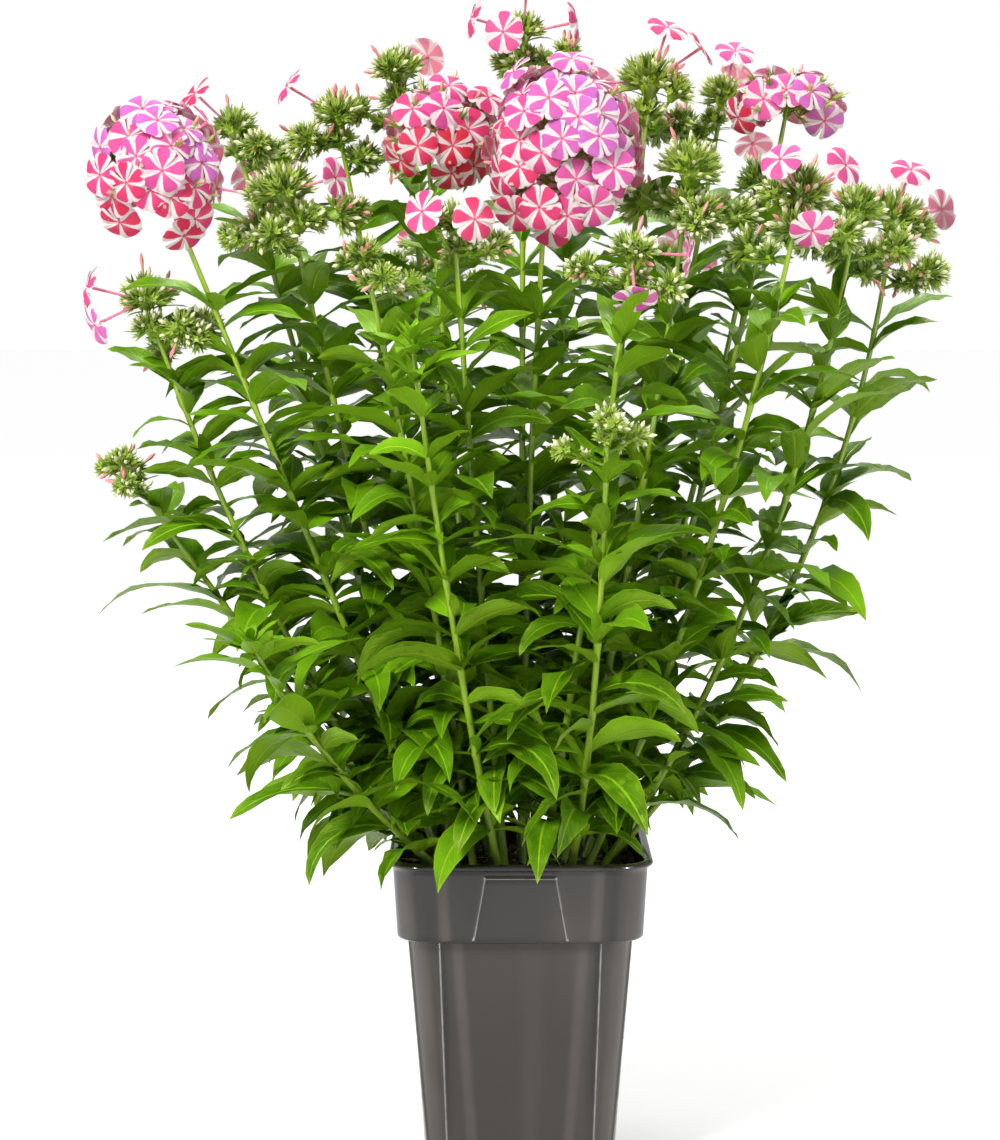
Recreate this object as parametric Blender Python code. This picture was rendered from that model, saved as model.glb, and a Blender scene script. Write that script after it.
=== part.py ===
"""A garden phlox in a square nursery pot, as it stands on a table.

The origin is the middle of the pot's base, +Z is up and -Y is the front.
Each leafy stem is one solid, with its leaves, bud clusters and single florets grown into it.
Each dense flower head is a solid of its own, with a socket for its stem.
"""

import math
import random

import bmesh
import bpy
from mathutils import Matrix, Quaternion, Vector
from mathutils.bvhtree import BVHTree

mm = 0.001
deg = math.pi / 180

# The pot, in metres.
pot = {
    "height": 200 * mm,
    "rimWidth": 157 * mm,
    "collarWidth": 151 * mm,
    "collarFootWidth": 146 * mm,
    "collarHeight": 47 * mm,
    "bodyTopWidth": 133 * mm,
    "baseWidth": 111 * mm,
    "lipHeight": 4 * mm,
    "wall": 2.2 * mm,
    "floor": 3.0 * mm,
    "cornerRadius": 24 * mm,
    "cornerSteps": 4,
}

# The soil fills the pot to a low mound round the crown.
soil = {
    "level": 191 * mm,
    "mound": 5 * mm,
    "gap": 0.4 * mm,
    "crumb": 1.2 * mm,
    "holeSides": 4,
    "holeGap": 0.6 * mm,
}

# How every stem and leaf grows.
growth = {
    "seed": 11,
    "rootDepth": 24 * mm,
    "straightFoot": 9 * mm,
    "footRadius": 3.0 * mm,
    "topRadius": 1.7 * mm,
    "rise": 0.42,
    "pairGap": 44 * mm,
    "firstPair": 0.10,
    "lastPair": 0.93,
    "leafLength": 82 * mm,
    "leafWidth": 22 * mm,
    "leafKeel": 1.5 * mm,
    "guard": 1.3 * mm,
    "calyxReach": 10 * mm,
}

# One floret: five broad petals on a thin tube.
floret = {
    "radius": 13.0 * mm,
    "petalHalfAngle": 23 * deg,
    "hollow": 1.0 * mm,
    "depth": 3.2 * mm,
    "tubeRadius": 1.1 * mm,
    "tubeLength": 21 * mm,
}

# The dense heads: the middle of each, its three radii and its number of florets.
blooms = {
    "bloom_left": {"at": (-209, -70, 603), "radii": (43, 38, 44), "florets": 21},
    "bloom_main": {"at": (16, -66, 617), "radii": (58, 44, 56), "florets": 33},
    "bloom_inner": {"at": (-56, 4, 629), "radii": (36, 30, 34), "florets": 14},
    "bloom_right": {"at": (160, 12, 644), "radii": (32, 28, 24), "florets": 10},
    "bloom_back": {"at": (34, 158, 636), "radii": (44, 38, 40), "florets": 15},
}

# The stems in millimetres. "bow" says how far a stem leans out before it turns up. A head is a
# bloom of the list above, "buds" with that share of full size, or a leafy "tip". Single florets
# are given by azimuth (0 to the front, 90 to the right) and elevation, in degrees.
stems = [
    {"name": "low_left", "foot": (-58, -12), "top": (-220, -40, 528), "bow": 0.60, "buds": 1.0,
     "florets": [(-78, 14), (-62, -24)]},
    {"name": "left", "foot": (-46, -27), "top": (-209, -70, 603), "bow": 0.42,
     "bloom": "bloom_left"},
    {"name": "left_back", "foot": (-52, 20), "top": (-176, 66, 632), "bow": 0.42, "buds": 0.9,
     "florets": [(38, -18), (-60, 40)]},
    {"name": "left_middle", "foot": (-37, -6), "top": (-139, -20, 592), "bow": 0.50, "buds": 1.1,
     "florets": [(70, 16)]},
    {"name": "left_inner", "foot": (-33, 16), "top": (-112, 52, 640), "bow": 0.36, "buds": 1.0,
     "florets": [(-76, 30)]},
    {"name": "front_left", "foot": (-28, -34), "top": (-88, -120, 553), "bow": 0.30, "buds": 0.75},
    {"name": "back_left", "foot": (-20, 38), "top": (-74, 92, 668), "bow": 0.50, "buds": 1.0,
     "florets": [(150, 20)]},
    {"name": "inner_left", "foot": (-17, 4), "top": (-56, 4, 629), "bow": 0.50,
     "bloom": "bloom_inner"},
    {"name": "centre_front", "foot": (-9, -34), "top": (-38, -106, 572), "bow": 0.50, "buds": 0.8,
     "florets": [(22, 4), (-34, 12)]},
    {"name": "centre", "foot": (2, -15), "top": (16, -66, 617), "bow": -0.10,
     "bloom": "bloom_main"},
    {"name": "top_centre", "foot": (1, 21), "top": (2, 34, 688), "bow": 0.50, "buds": 0.85,
     "florets": [(-80, 16), (84, 12), (10, 66), (-22, -2)]},
    {"name": "right_inner", "foot": (20, 6), "top": (78, 22, 658), "bow": 0.55, "buds": 1.2,
     "florets": [(-84, -4), (30, 58), (84, 34)]},
    {"name": "right_middle", "foot": (26, -17), "top": (99, -40, 604), "bow": 0.60, "buds": 1.2},
    {"name": "front_right", "foot": (13, -49), "top": (61, -142, 556), "bow": 0.50, "buds": 0.8,
     "florets": [(66, -14), (4, -56)]},
    {"name": "right_back", "foot": (34, 31), "top": (126, 82, 652), "bow": 0.50, "buds": 0.9,
     "florets": [(20, 56), (160, 20)]},
    {"name": "right", "foot": (40, 9), "top": (160, 12, 644), "bow": 0.60, "bloom": "bloom_right"},
    {"name": "right_front", "foot": (41, -26), "top": (160, -92, 588), "bow": 0.60, "buds": 1.1,
     "florets": [(-30, 34), (6, -34), (44, 28)]},
    {"name": "right_low", "foot": (53, -9), "top": (196, -48, 580), "bow": 0.75, "buds": 1.0},
    {"name": "right_outer", "foot": (58, 12), "top": (224, 14, 576), "bow": 0.85, "buds": 1.2,
     "florets": [(20, 52), (120, 10)]},
    {"name": "nodding", "foot": (30, -47), "top": (47, -158, 462), "bow": 0.90, "buds": 0.6},
    {"name": "front_tip", "foot": (-12, -54), "top": (-61, -146, 508), "bow": 0.55},
    {"name": "low_tip", "foot": (-46, -46), "top": (-153, -138, 338), "bow": 0.60},
    {"name": "side_left", "foot": (-60, 5), "top": (-238, -6, 430), "bow": 0.46, "buds": 0.7},
    {"name": "back", "foot": (8, 48), "top": (34, 158, 636), "bow": 0.55, "bloom": "bloom_back"},
    {"name": "back_right", "foot": (38, 50), "top": (156, 156, 600), "bow": 0.60, "buds": 1.1,
     "florets": [(150, 20), (-170, 50)]},
    {"name": "left_rear", "foot": (-40, 46), "top": (-160, 158, 592), "bow": 0.60, "buds": 1.1,
     "florets": [(-150, 24), (170, 48), (-100, 10)]},
    {"name": "rear_left", "foot": (-15, 60), "top": (-62, 214, 560), "bow": 0.65, "buds": 1.0,
     "florets": [(-170, 20)]},
    {"name": "rear_right", "foot": (22, 62), "top": (96, 218, 548), "bow": 0.65, "buds": 1.0,
     "florets": [(160, 30), (110, 0)]},
]

colours = {
    "pot": ((0.075, 0.068, 0.062), 0.30),
    "soil": ((0.045, 0.028, 0.018), 0.95),
    "leaf": ((0.075, 0.23, 0.030), 0.50),
    "petal": ((0.80, 0.16, 0.34), 0.55),
}


# Directions

def aim(azimuth, elevation):
    """The unit vector at an azimuth from the front towards the right, and an elevation."""
    flat = math.cos(elevation)
    return Vector((math.sin(azimuth) * flat, -math.cos(azimuth) * flat, math.sin(elevation)))


def turnTo(direction):
    """The rotation that stands +Z on a direction."""
    return Vector((0, 0, 1)).rotation_difference(direction)


def spread(count, lowest):
    """Directions spaced evenly over a ball by the golden angle, from the top down to a height."""
    found = []
    for i in range(count):
        z = 1 - (1 - lowest) * (i + 0.5) / count
        turn = i * math.pi * (3 - math.sqrt(5))
        flat = math.sqrt(max(0, 1 - z * z))
        found.append(Vector((math.cos(turn) * flat, math.sin(turn) * flat, z)))
    return found


# The way a stem runs

def stemEnds(stem):
    """A stem's foot on the soil, the point that it leans out to, and its top."""
    foot = Vector((stem["foot"][0] * mm, stem["foot"][1] * mm, soil["level"]))
    top = Vector(stem["top"]) * mm
    bend = foot.lerp(top, stem["bow"])
    bend.z = foot.z + (top.z - foot.z) * growth["rise"]
    return foot, bend, top


def stemPoint(stem, t):
    """A point on the stem, with t from 0 at the soil to 1 at its top."""
    foot, bend, top = stemEnds(stem)
    return foot * (1 - t) ** 2 + bend * 2 * t * (1 - t) + top * t * t


def stemAlong(stem, t):
    """The way that the stem points at t."""
    foot, bend, top = stemEnds(stem)
    return ((bend - foot) * (1 - t) + (top - bend) * t).normalized()


def stemRadius(t):
    return growth["footRadius"] + (growth["topRadius"] - growth["footRadius"]) * t


def stemLine(stem, steps):
    """The points along a stem from its root up, with the radius at each."""
    foot, along = stemPoint(stem, 0), stemAlong(stem, 0)
    line = [(foot - along * growth["rootDepth"], stemRadius(0) * 0.9)]
    line.append((foot + along * growth["straightFoot"], stemRadius(0)))
    for i in range(1, steps + 1):
        t = 0.12 + 0.88 * i / steps
        line.append((stemPoint(stem, t), stemRadius(t)))
    return line


# The way a leaf lies

def leafLine(leaf, shares):
    """The midrib's point, side and upper normal at each share of the leaf's length.

    A leaf leaves the stem at its rise, arches over by its droop and swings a little sideways.
    """
    found, point, done, steps = [], leaf["root"].copy(), 0.0, 24
    for share in shares:
        count = max(1, round((share - done) * steps))
        for i in range(count):
            part = done + (share - done) * (i + 0.5) / count
            turn = leaf["heading"] + leaf["swing"] * part
            way = aim(turn, leaf["rise"] - leaf["droop"] * part)
            point = point + way * leaf["length"] * (share - done) / count
        done = share
        turn = leaf["heading"] + leaf["swing"] * share
        way = aim(turn, leaf["rise"] - leaf["droop"] * share)
        side = aim(turn - math.pi / 2, 0)
        side.rotate(Quaternion(way, leaf["roll"] + leaf["twist"] * share))
        found.append((point.copy(), side, side.cross(way)))
    return found


def leafHalfWidth(leaf, share):
    """Lance-shaped: widest at two fifths of the length, with a long drawn-out tip."""
    return leaf["width"] / 2 * 3.42 * share ** 0.75 * (1 - share) ** 1.06


def leafShape(leaf, start=0.0):
    """The blade as points and faces: flat above, with a keel below, and sharp at both ends."""
    shares = (start, 0.34, 0.68, 1.0)
    line = leafLine(leaf, shares)
    points = [line[0][0]]
    for (middle, side, up), share in zip(line[1:3], shares[1:3]):
        half = leafHalfWidth(leaf, share)
        keel = growth["leafKeel"] * (1.25 - share)
        points += [middle + side * half, middle - side * half, middle - up * keel]
    points.append(line[3][0])
    faces = [(0, 1, 2), (5, 4, 7), (0, 3, 1), (4, 6, 7), (0, 2, 3), (6, 5, 7)]
    for quad in ((1, 4, 5, 2), (3, 6, 4, 1), (2, 5, 6, 3)):
        faces += fullerSplit(points, quad)
    return points, faces


def fullerSplit(points, quad):
    """Two triangles for a bent quad, split the way that bulges out, so the blade keeps its body."""
    a, b, c, d = quad
    return max((((a, b, c), (a, c, d)), ((a, b, d), (b, c, d))), key=lambda pair: sum(
        points[i].dot(points[j].cross(points[k])) for i, j, k in pair))


def leafGuard(leaf, start=0.0):
    """The room that a leaf needs: its blade, fuller all round and longer at the tip."""
    shares, more = (start, 0.34, 0.68, 1.03), growth["guard"]
    line = leafLine(leaf, shares)
    points = [line[0][0]]
    for (middle, side, up), share in zip(line[1:3], shares[1:3]):
        half = leafHalfWidth(leaf, share) + 1.6 * more
        keel = growth["leafKeel"] * (1.25 - share) + more
        points += [middle + side * half, middle + up * more,
                   middle - side * half, middle - up * keel]
    points.append(line[3][0])
    faces = []
    for k in range(4):
        a, b = 1 + k, 1 + (k + 1) % 4
        faces += [(0, a, b), (a, a + 4, b + 4), (a, b + 4, b), (a + 4, 9, b + 4)]
    return points, faces


def tubeShape(line, sides):
    """A tube along points with a radius at each, for testing what is in the way."""
    points, faces = [], []
    for i, (point, radius) in enumerate(line):
        ahead = line[min(i + 1, len(line) - 1)][0] - line[max(i - 1, 0)][0]
        turned = turnTo(ahead.normalized())
        for k in range(sides):
            angle = 2 * math.pi * k / sides
            points.append(point + turned @ Vector((math.cos(angle), math.sin(angle), 0)) * radius)
    for i in range(len(line) - 1):
        for k in range(sides):
            a, b = i * sides + k, i * sides + (k + 1) % sides
            faces.append((a, b, b + sides, a + sides))
    return points, faces


def ballShape(centre, radii, turn=None):
    """A coarse ball as points and faces, for testing what is in the way."""
    points, rows, columns = [], 5, 8
    for i in range(rows + 1):
        tilt = math.pi * (0.02 + 0.96 * i / rows)
        for k in range(columns):
            turned = 2 * math.pi * k / columns
            points.append(centre + Vector((
                radii[0] * math.sin(tilt) * math.cos(turned),
                radii[1] * math.sin(tilt) * math.sin(turned), radii[2] * math.cos(tilt))))
    faces = [(i * columns + k, i * columns + (k + 1) % columns,
              (i + 1) * columns + (k + 1) % columns, (i + 1) * columns + k)
             for i in range(rows) for k in range(columns)]
    return points, faces


def floretShape(centre, facing, roll, end, corners=2):
    """Five petals in one outline, hollow in front, tapering behind to a point on its stalk.

    A petal has two corners, or one in the dense heads, where the florets stand without tubes.
    """
    turned = turnTo(facing) @ Quaternion((0, 0, 1), roll)
    points = []
    for petal in range(5):
        spread = floret["petalHalfAngle"] if corners == 2 else 0
        reach = floret["radius"] if corners == 2 else floret["radius"] * 1.1
        for side in (-1, 1)[:corners]:
            angle = petal * 72 * deg + side * spread
            points.append(centre + turned @ Vector((math.cos(angle), math.sin(angle), 0)) * reach)
    count = len(points)
    points.append(centre - facing * floret["hollow"])
    faces = [(i, (i + 1) % count, count) for i in range(count)]
    if corners == 1:
        points.append(end)
        faces += [((i + 1) % count, i, count + 1) for i in range(count)]
        return points, faces
    for k in range(5):
        angle = k * 72 * deg
        flat = Vector((math.cos(angle), math.sin(angle), 0)) * floret["tubeRadius"] * 1.8
        points.append(centre - facing * floret["depth"] + turned @ flat)
    points.append(end)
    first, last = count + 1, count + 6
    for k in range(5):
        a, b, c = 2 * k, 2 * k + 1, (2 * k + 2) % count
        here, ahead = first + k, first + (k + 1) % 5
        faces += [(b, a, here), (c, b, here), (c, here, ahead), (ahead, here, last)]
    return points, faces


def clusterShape(cluster, swell=1.0):
    """A knot of calyces on its branch: faces drawn out to points round a small core."""
    centre, radius = cluster["centre"], cluster["radius"] * swell
    turned = turnTo(cluster["along"])
    sides = cluster["sides"]
    points = [centre + cluster["along"] * radius * 0.42]
    for wide, high in ((0.56, 0.10), (0.24, -0.62)):
        for k in range(sides):
            angle = 2 * math.pi * k / sides
            flat = Vector((math.cos(angle) * wide, math.sin(angle) * wide, high))
            points.append(centre + turned @ flat * radius)
    points.append(cluster["from"])
    faces, last = [], len(points) - 1
    for k in range(sides):
        a, b = 1 + k, 1 + (k + 1) % sides
        c, d = a + sides, b + sides
        for ring, reach in (((0, a, b), 1.0), ((b, a, c, d), 1.0)):
            middle = sum((points[i] for i in ring), Vector()) / len(ring)
            points.append(centre + (middle - centre).normalized() * radius * reach)
            tip = len(points) - 1
            faces += [(ring[i], ring[(i + 1) % len(ring)], tip) for i in range(len(ring))]
        faces.append((d, c, last))
    return points, faces


# What is already there

class Clearing:
    """Remembers every shape that has grown, and says whether a new one would cross another."""

    def __init__(self):
        self.entries = []

    def add(self, node, shape, blade=None):
        self.entries.append((node, self.bounds(shape[0]), BVHTree.FromPolygons(*shape),
                             BVHTree.FromPolygons(*blade) if blade else None))

    def bounds(self, points):
        return [(min(p[k] for p in points), max(p[k] for p in points)) for k in range(3)]

    def crosses(self, node, shape, blade=None):
        """True if the shape meets another node's, or its blade meets one on its own node."""
        reach = self.bounds(shape[0])
        whole = BVHTree.FromPolygons(*shape)
        own = BVHTree.FromPolygons(*blade) if blade else None
        for other, (x, y, z), tree, otherBlade in self.entries:
            if (x[0] > reach[0][1] or x[1] < reach[0][0] or y[0] > reach[1][1]
                    or y[1] < reach[1][0] or z[0] > reach[2][1] or z[1] < reach[2][0]):
                continue
            if other != node:
                if whole.overlap(tree):
                    return True
            elif own and otherBlade and own.overlap(otherBlade):
                return True
        return False


# Where everything grows

def clustersOf(stem, draw, clearing):
    """The bud clusters of a head: one at the stem's top and others on short side branches."""
    size = stem["buds"]
    top, along = stemPoint(stem, 1), stemAlong(stem, 1)
    radius = 19 * mm * size
    found = [{"centre": top, "along": along, "radius": radius, "sides": 5,
              "from": top - along * radius * 1.5}]
    clearing.add(stem["name"], clusterShape(found[0], 1.06))
    wanted = 3 if size > 0.95 else 2
    turn = draw.uniform(0, 360)
    for i in range(wanted):
        root = top - along * (20 + 9 * i) * mm * (0.6 + 0.4 * size)
        radius = (14.5 - 1.2 * i) * mm * size
        for tried in range(16):
            azimuth = (turn + i * 137.5 + tried * 31) * deg
            reach = (27 + 3 * i) * mm * (0.5 + 0.5 * size)
            centre = root + aim(azimuth, (22 - 8 * (tried % 3)) * deg) * reach
            cluster = {"centre": centre, "along": (centre - root).normalized(),
                       "radius": radius, "sides": 4, "from": root}
            shape = clusterShape(cluster, 1.06)
            ball = ballShape(centre, [radius * 1.1] * 3)
            if clearing.crosses(stem["name"], shape, ball):
                continue
            if clearing.crosses("", ball):
                continue
            clearing.add(stem["name"], shape, ball)
            found.append(cluster)
            break
    return found


def floretsOf(stem, clusters, draw, clearing):
    """The single open florets of a bud head, each at the end of its tube."""
    found = []
    for azimuth, elevation in stem.get("florets", ()):
        for tried in range(10):
            shift = 9 * ((tried + 1) // 2) * (-1) ** tried
            facing = aim((azimuth + shift) * deg, (elevation + shift * 0.4) * deg)
            start = clusters[0]["centre"] + facing * clusters[0]["radius"] * 0.3
            centre = start + facing * (floret["tubeLength"] + clusters[0]["radius"] * 0.4)
            shape = floretShape(centre, facing, 0, centre - facing * floret["depth"])
            if not clearing.crosses(stem["name"], shape, shape):
                break
        else:
            continue
        clearing.add(stem["name"], shape, shape)
        found.append({"start": start, "centre": centre, "facing": facing,
                      "roll": draw.uniform(0, 72) * deg})
    return found


def bloomFlorets(bloom, draw):
    """The florets of a dense head: all over an egg shape but for its underside."""
    middle = Vector(bloom["at"]) * mm
    radii = Vector(bloom["radii"]) * mm
    found = []
    for way in spread(bloom["florets"], -0.62):
        way = (way + Vector([draw.uniform(-0.10, 0.10) for _ in range(3)])).normalized()
        centre = middle + Vector([radii[k] * way[k] for k in range(3)]) * draw.uniform(0.95, 1.03)
        facing = Vector([way[k] / radii[k] for k in range(3)]).normalized()
        facing = (facing + Vector([draw.uniform(-0.2, 0.2) for _ in range(3)])).normalized()
        found.append({"centre": centre, "facing": facing, "roll": draw.uniform(0, 72) * deg,
                      "start": middle + (centre - middle) * 0.5})
    return found


# The ways a leaf may bend to keep clear: turn, extra rise and share of its length.
leafBends = [(0, 0, 1), (13, 3, 1), (-13, 3, 1), (0, 14, 1), (0, -14, 1), (26, 0, 1), (-26, 0, 1),
             (8, 26, 0.95), (20, -18, 0.92), (-20, -18, 0.92), (38, 8, 0.9), (-38, 8, 0.9),
             (0, -28, 0.85), (0, 34, 0.8), (30, 16, 0.72), (-30, 16, 0.72), (50, 0, 0.66),
             (-50, 0, 0.66), (0, 10, 0.55), (14, -14, 0.5)]


def leavesOf(stem, draw, clearing):
    """The opposite pairs of leaves, each pair turned a quarter from the last."""
    found = []
    foot, bend, top = stemEnds(stem)
    run = (bend - foot).length + (top - bend).length
    reach = growth["lastPair"] - growth["firstPair"]
    if "bloom" in stem:
        reach -= max(blooms[stem["bloom"]]["radii"]) * mm / run * 1.05
    elif "buds" in stem:
        reach -= 0.07 * stem["buds"]
    pairs = max(3, round(run * reach / growth["pairGap"]))
    turn = draw.uniform(0, 360)
    for pair in range(pairs):
        u = growth["firstPair"] + reach * pair / (pairs - 1)
        size = 0.74 + 0.62 * math.sin(math.pi * min(1, u * 0.9 + 0.08)) ** 0.8 * 0.55
        size *= 1.0 - 0.34 * max(0, u - 0.7) / 0.3
        for side in (0, 180):
            wanted = {
                "root": stemPoint(stem, u),
                "heading": (turn + side + draw.uniform(-9, 9)) * deg,
                "rise": (17 + 33 * u + draw.uniform(-9, 9)) * deg,
                "droop": (76 - 36 * u + draw.uniform(-18, 18)) * deg,
                "swing": draw.uniform(-28, 28) * deg,
                "roll": draw.uniform(-26, 26) * deg,
                "twist": draw.uniform(-34, 34) * deg,
                "length": growth["leafLength"] * size * draw.uniform(0.86, 1.08),
                "tone": draw.random(),
            }
            leaf = clearLeaf(stem, wanted, clearing)
            if leaf:
                found.append(leaf)
        turn += 90 + draw.uniform(-8, 8)
    return found


def clearLeaf(stem, wanted, clearing):
    """The leaf in the first of its bends that crosses nothing, or None."""
    for turn, rise, share in leafBends:
        leaf = dict(wanted, heading=wanted["heading"] + turn * deg,
                    rise=wanted["rise"] + rise * deg, length=wanted["length"] * share)
        leaf["width"] = leaf["length"] * growth["leafWidth"] / growth["leafLength"]
        whole, blade = leafShape(leaf), leafShape(leaf, 0.16)
        if clearing.crosses(stem["name"], leafGuard(leaf), leafGuard(leaf, 0.16)):
            continue
        if not clearing.crosses(stem["name"], whole, blade):
            clearing.add(stem["name"], whole, blade)
            return leaf
    return None


def growPlant(obstacles):
    """Everything on the plant, by name, grown clear of the obstacles and of itself."""
    draw = random.Random(growth["seed"])
    clearing = Clearing()
    for name, shape in obstacles:
        clearing.add(name, shape)
    heads = {}
    for name, bloom in blooms.items():
        heads[name] = bloomFlorets(bloom, draw)
        clearing.add(name, ballShape(Vector(bloom["at"]) * mm,
                                     [r * mm + 5 * mm for r in bloom["radii"]]))
    for stem in stems:
        line = stemLine(stem, 5)
        if "bloom" in stem:
            line = cutBelowBloom(stem, line)
        clearing.add(stem["name"], tubeShape(line, 6))
    plant = {stem["name"]: {"stem": stem, "clusters": [], "florets": []} for stem in stems}
    for stem in stems:
        if "buds" in stem:
            grown = plant[stem["name"]]
            grown["clusters"] = clustersOf(stem, draw, clearing)
            grown["florets"] = floretsOf(stem, grown["clusters"], draw, clearing)
    for stem in stems:
        plant[stem["name"]]["leaves"] = leavesOf(stem, draw, clearing)
    return plant, heads


def cutBelowBloom(stem, line):
    """The stem's points up to where it ends inside its bloom's core."""
    bloom = blooms[stem["bloom"]]
    end = 1 - bloom["radii"][2] * mm * 0.55 / (stemPoint(stem, 1) - stemPoint(stem, 0)).length
    kept = [p for p in line[:-1] if p[0].z < stemPoint(stem, end).z - 6 * mm]
    return kept + [(stemPoint(stem, end), stemRadius(end))]


# Meshes and objects

def materialFor(name):
    """The plain finish of a sub-part."""
    found = bpy.data.materials.get(name)
    if found:
        return found
    colour, roughness = colours[name]
    found = bpy.data.materials.new(name)
    found.use_nodes = True
    shader = found.node_tree.nodes["Principled BSDF"]
    shader.inputs["Base Color"].default_value = (*colour, 1)
    shader.inputs["Roughness"].default_value = roughness
    found.diffuse_color = (*colour, 1)
    return found


def meshObject(name, collection, fill, material=None):
    """A new object whose mesh is made by fill(bm), with its faces pointing out."""
    bm = bmesh.new()
    fill(bm)
    if bm.calc_volume(signed=True) < 0:
        bmesh.ops.reverse_faces(bm, faces=bm.faces)
    mesh = bpy.data.meshes.new(name)
    bm.to_mesh(mesh)
    bm.free()
    obj = bpy.data.objects.new(name, mesh)
    if material:
        mesh.materials.append(materialFor(material))
    collection.objects.link(obj)
    return obj


def shapeObject(name, collection, shape):
    """An object from a shape's points and faces."""
    def fill(bm):
        made = [bm.verts.new(p) for p in shape[0]]
        for face in shape[1]:
            bm.faces.new([made[i] for i in face])
    return meshObject(name, collection, fill)


def coneObject(name, collection, start, end, wide, narrow, sides):
    """A straight cone or rod between two points."""
    along = end - start
    place = Matrix.Translation((start + end) / 2) @ turnTo(along.normalized()).to_matrix().to_4x4()

    def fill(bm):
        bmesh.ops.create_cone(bm, cap_ends=True, segments=sides, radius1=wide, radius2=narrow,
                              depth=along.length, matrix=place)
    return meshObject(name, collection, fill)


def ballObject(name, collection, centre, radii, detail, material=None):
    """An egg-shaped ball."""
    place = Matrix.Translation(centre) @ Matrix.Diagonal((*radii, 1))

    def fill(bm):
        bmesh.ops.create_icosphere(bm, subdivisions=detail, radius=1, matrix=place)
    return meshObject(name, collection, fill, material)


def tubeObject(name, collection, line, material, resolution):
    """A bevelled curve through the line's points, made a mesh and welded at its caps."""
    curve = bpy.data.curves.new(name, "CURVE")
    curve.dimensions = "3D"
    curve.bevel_depth = 1
    curve.bevel_resolution = resolution
    curve.use_fill_caps = True
    spline = curve.splines.new("POLY")
    spline.points.add(len(line) - 1)
    for made, (point, radius) in zip(spline.points, line):
        made.co = (*point, 1)
        made.radius = radius
    guide = bpy.data.objects.new(name + "_line", curve)
    collection.objects.link(guide)
    graph = bpy.context.evaluated_depsgraph_get()
    mesh = bpy.data.meshes.new_from_object(guide.evaluated_get(graph))
    bpy.data.objects.remove(guide)
    bm = bmesh.new()
    bm.from_mesh(mesh)
    bmesh.ops.remove_doubles(bm, verts=bm.verts, dist=0.00002)
    if bm.calc_volume(signed=True) < 0:
        bmesh.ops.reverse_faces(bm, faces=bm.faces)
    bm.to_mesh(mesh)
    bm.free()
    mesh.materials.clear()
    mesh.materials.append(materialFor(material))
    obj = bpy.data.objects.new(name, mesh)
    collection.objects.link(obj)
    return obj


def joinInto(obj, repeats, operation="UNION", solver="MANIFOLD"):
    """Joins a collection's repeats to an object, or cuts them from it, and removes them."""
    change = obj.modifiers.new("Join", "BOOLEAN")
    change.operation = operation
    change.operand_type = "COLLECTION"
    change.collection = repeats
    change.solver = solver
    graph = bpy.context.evaluated_depsgraph_get()
    mesh = bpy.data.meshes.new_from_object(obj.evaluated_get(graph))
    obj.modifiers.remove(change)
    obj.data = mesh
    while len(mesh.materials) > 1:
        mesh.materials.pop()
    keepLargest(mesh)
    for repeat in list(repeats.objects):
        bpy.data.objects.remove(repeat)
    bpy.data.collections.remove(repeats)


def keepLargest(mesh):
    """Drops any scrap or sealed hollow that the joining left beside the main shell."""
    bm = bmesh.new()
    bm.from_mesh(mesh)
    left, shells = set(bm.verts), []
    while left:
        shell, edge = set(), [left.pop()]
        while edge:
            vert = edge.pop()
            shell.add(vert)
            for link in vert.link_edges:
                other = link.other_vert(vert)
                if other in left:
                    left.remove(other)
                    edge.append(other)
        shells.append(shell)
    shells.sort(key=len)
    for shell in shells[:-1]:
        bmesh.ops.delete(bm, geom=list(shell), context="VERTS")
    bm.to_mesh(mesh)
    bm.free()
    return len(shells)


def newCollection(name, parent):
    made = bpy.data.collections.new(name)
    parent.children.link(made)
    return made


# The pot and its soil

def roundedSquare(width, radius, z, steps):
    """The corners' arcs of a square outline, in order round it."""
    ring, half = [], width / 2 - radius
    for corner in range(4):
        for i in range(steps + 1):
            angle = (corner + i / steps) * math.pi / 2
            middle = (half if corner in (0, 3) else -half, half if corner in (0, 1) else -half)
            ring.append(Vector((middle[0] + radius * math.cos(angle),
                                middle[1] + radius * math.sin(angle), z)))
    return ring


def loftRings(rings):
    """Closes a stack of like rings into one body, with flat ends."""
    count = len(rings[0])
    points = [p for ring in rings for p in ring]
    faces = [tuple(reversed(range(count)))]
    for i in range(len(rings) - 1):
        for k in range(count):
            a, b = i * count + k, i * count + (k + 1) % count
            faces.append((a, b, b + count, a + count))
    faces.append(tuple((len(rings) - 1) * count + k for k in range(count)))
    return points, faces


def bodyWidth(z):
    """The pot body's outer width at a height."""
    top = pot["height"] - pot["collarHeight"]
    return pot["baseWidth"] + (pot["bodyTopWidth"] - pot["baseWidth"]) * z / top


def innerWidth(z):
    """The width inside the pot at a height."""
    step = pot["height"] - pot["collarHeight"] + pot["wall"]
    if z <= step:
        return bodyWidth(min(z, step)) - 2 * pot["wall"]
    share = (z - step) / (pot["height"] - step)
    outer = pot["collarFootWidth"] + (pot["collarWidth"] - pot["collarFootWidth"]) * share
    return outer - 2 * pot["wall"]


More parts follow.
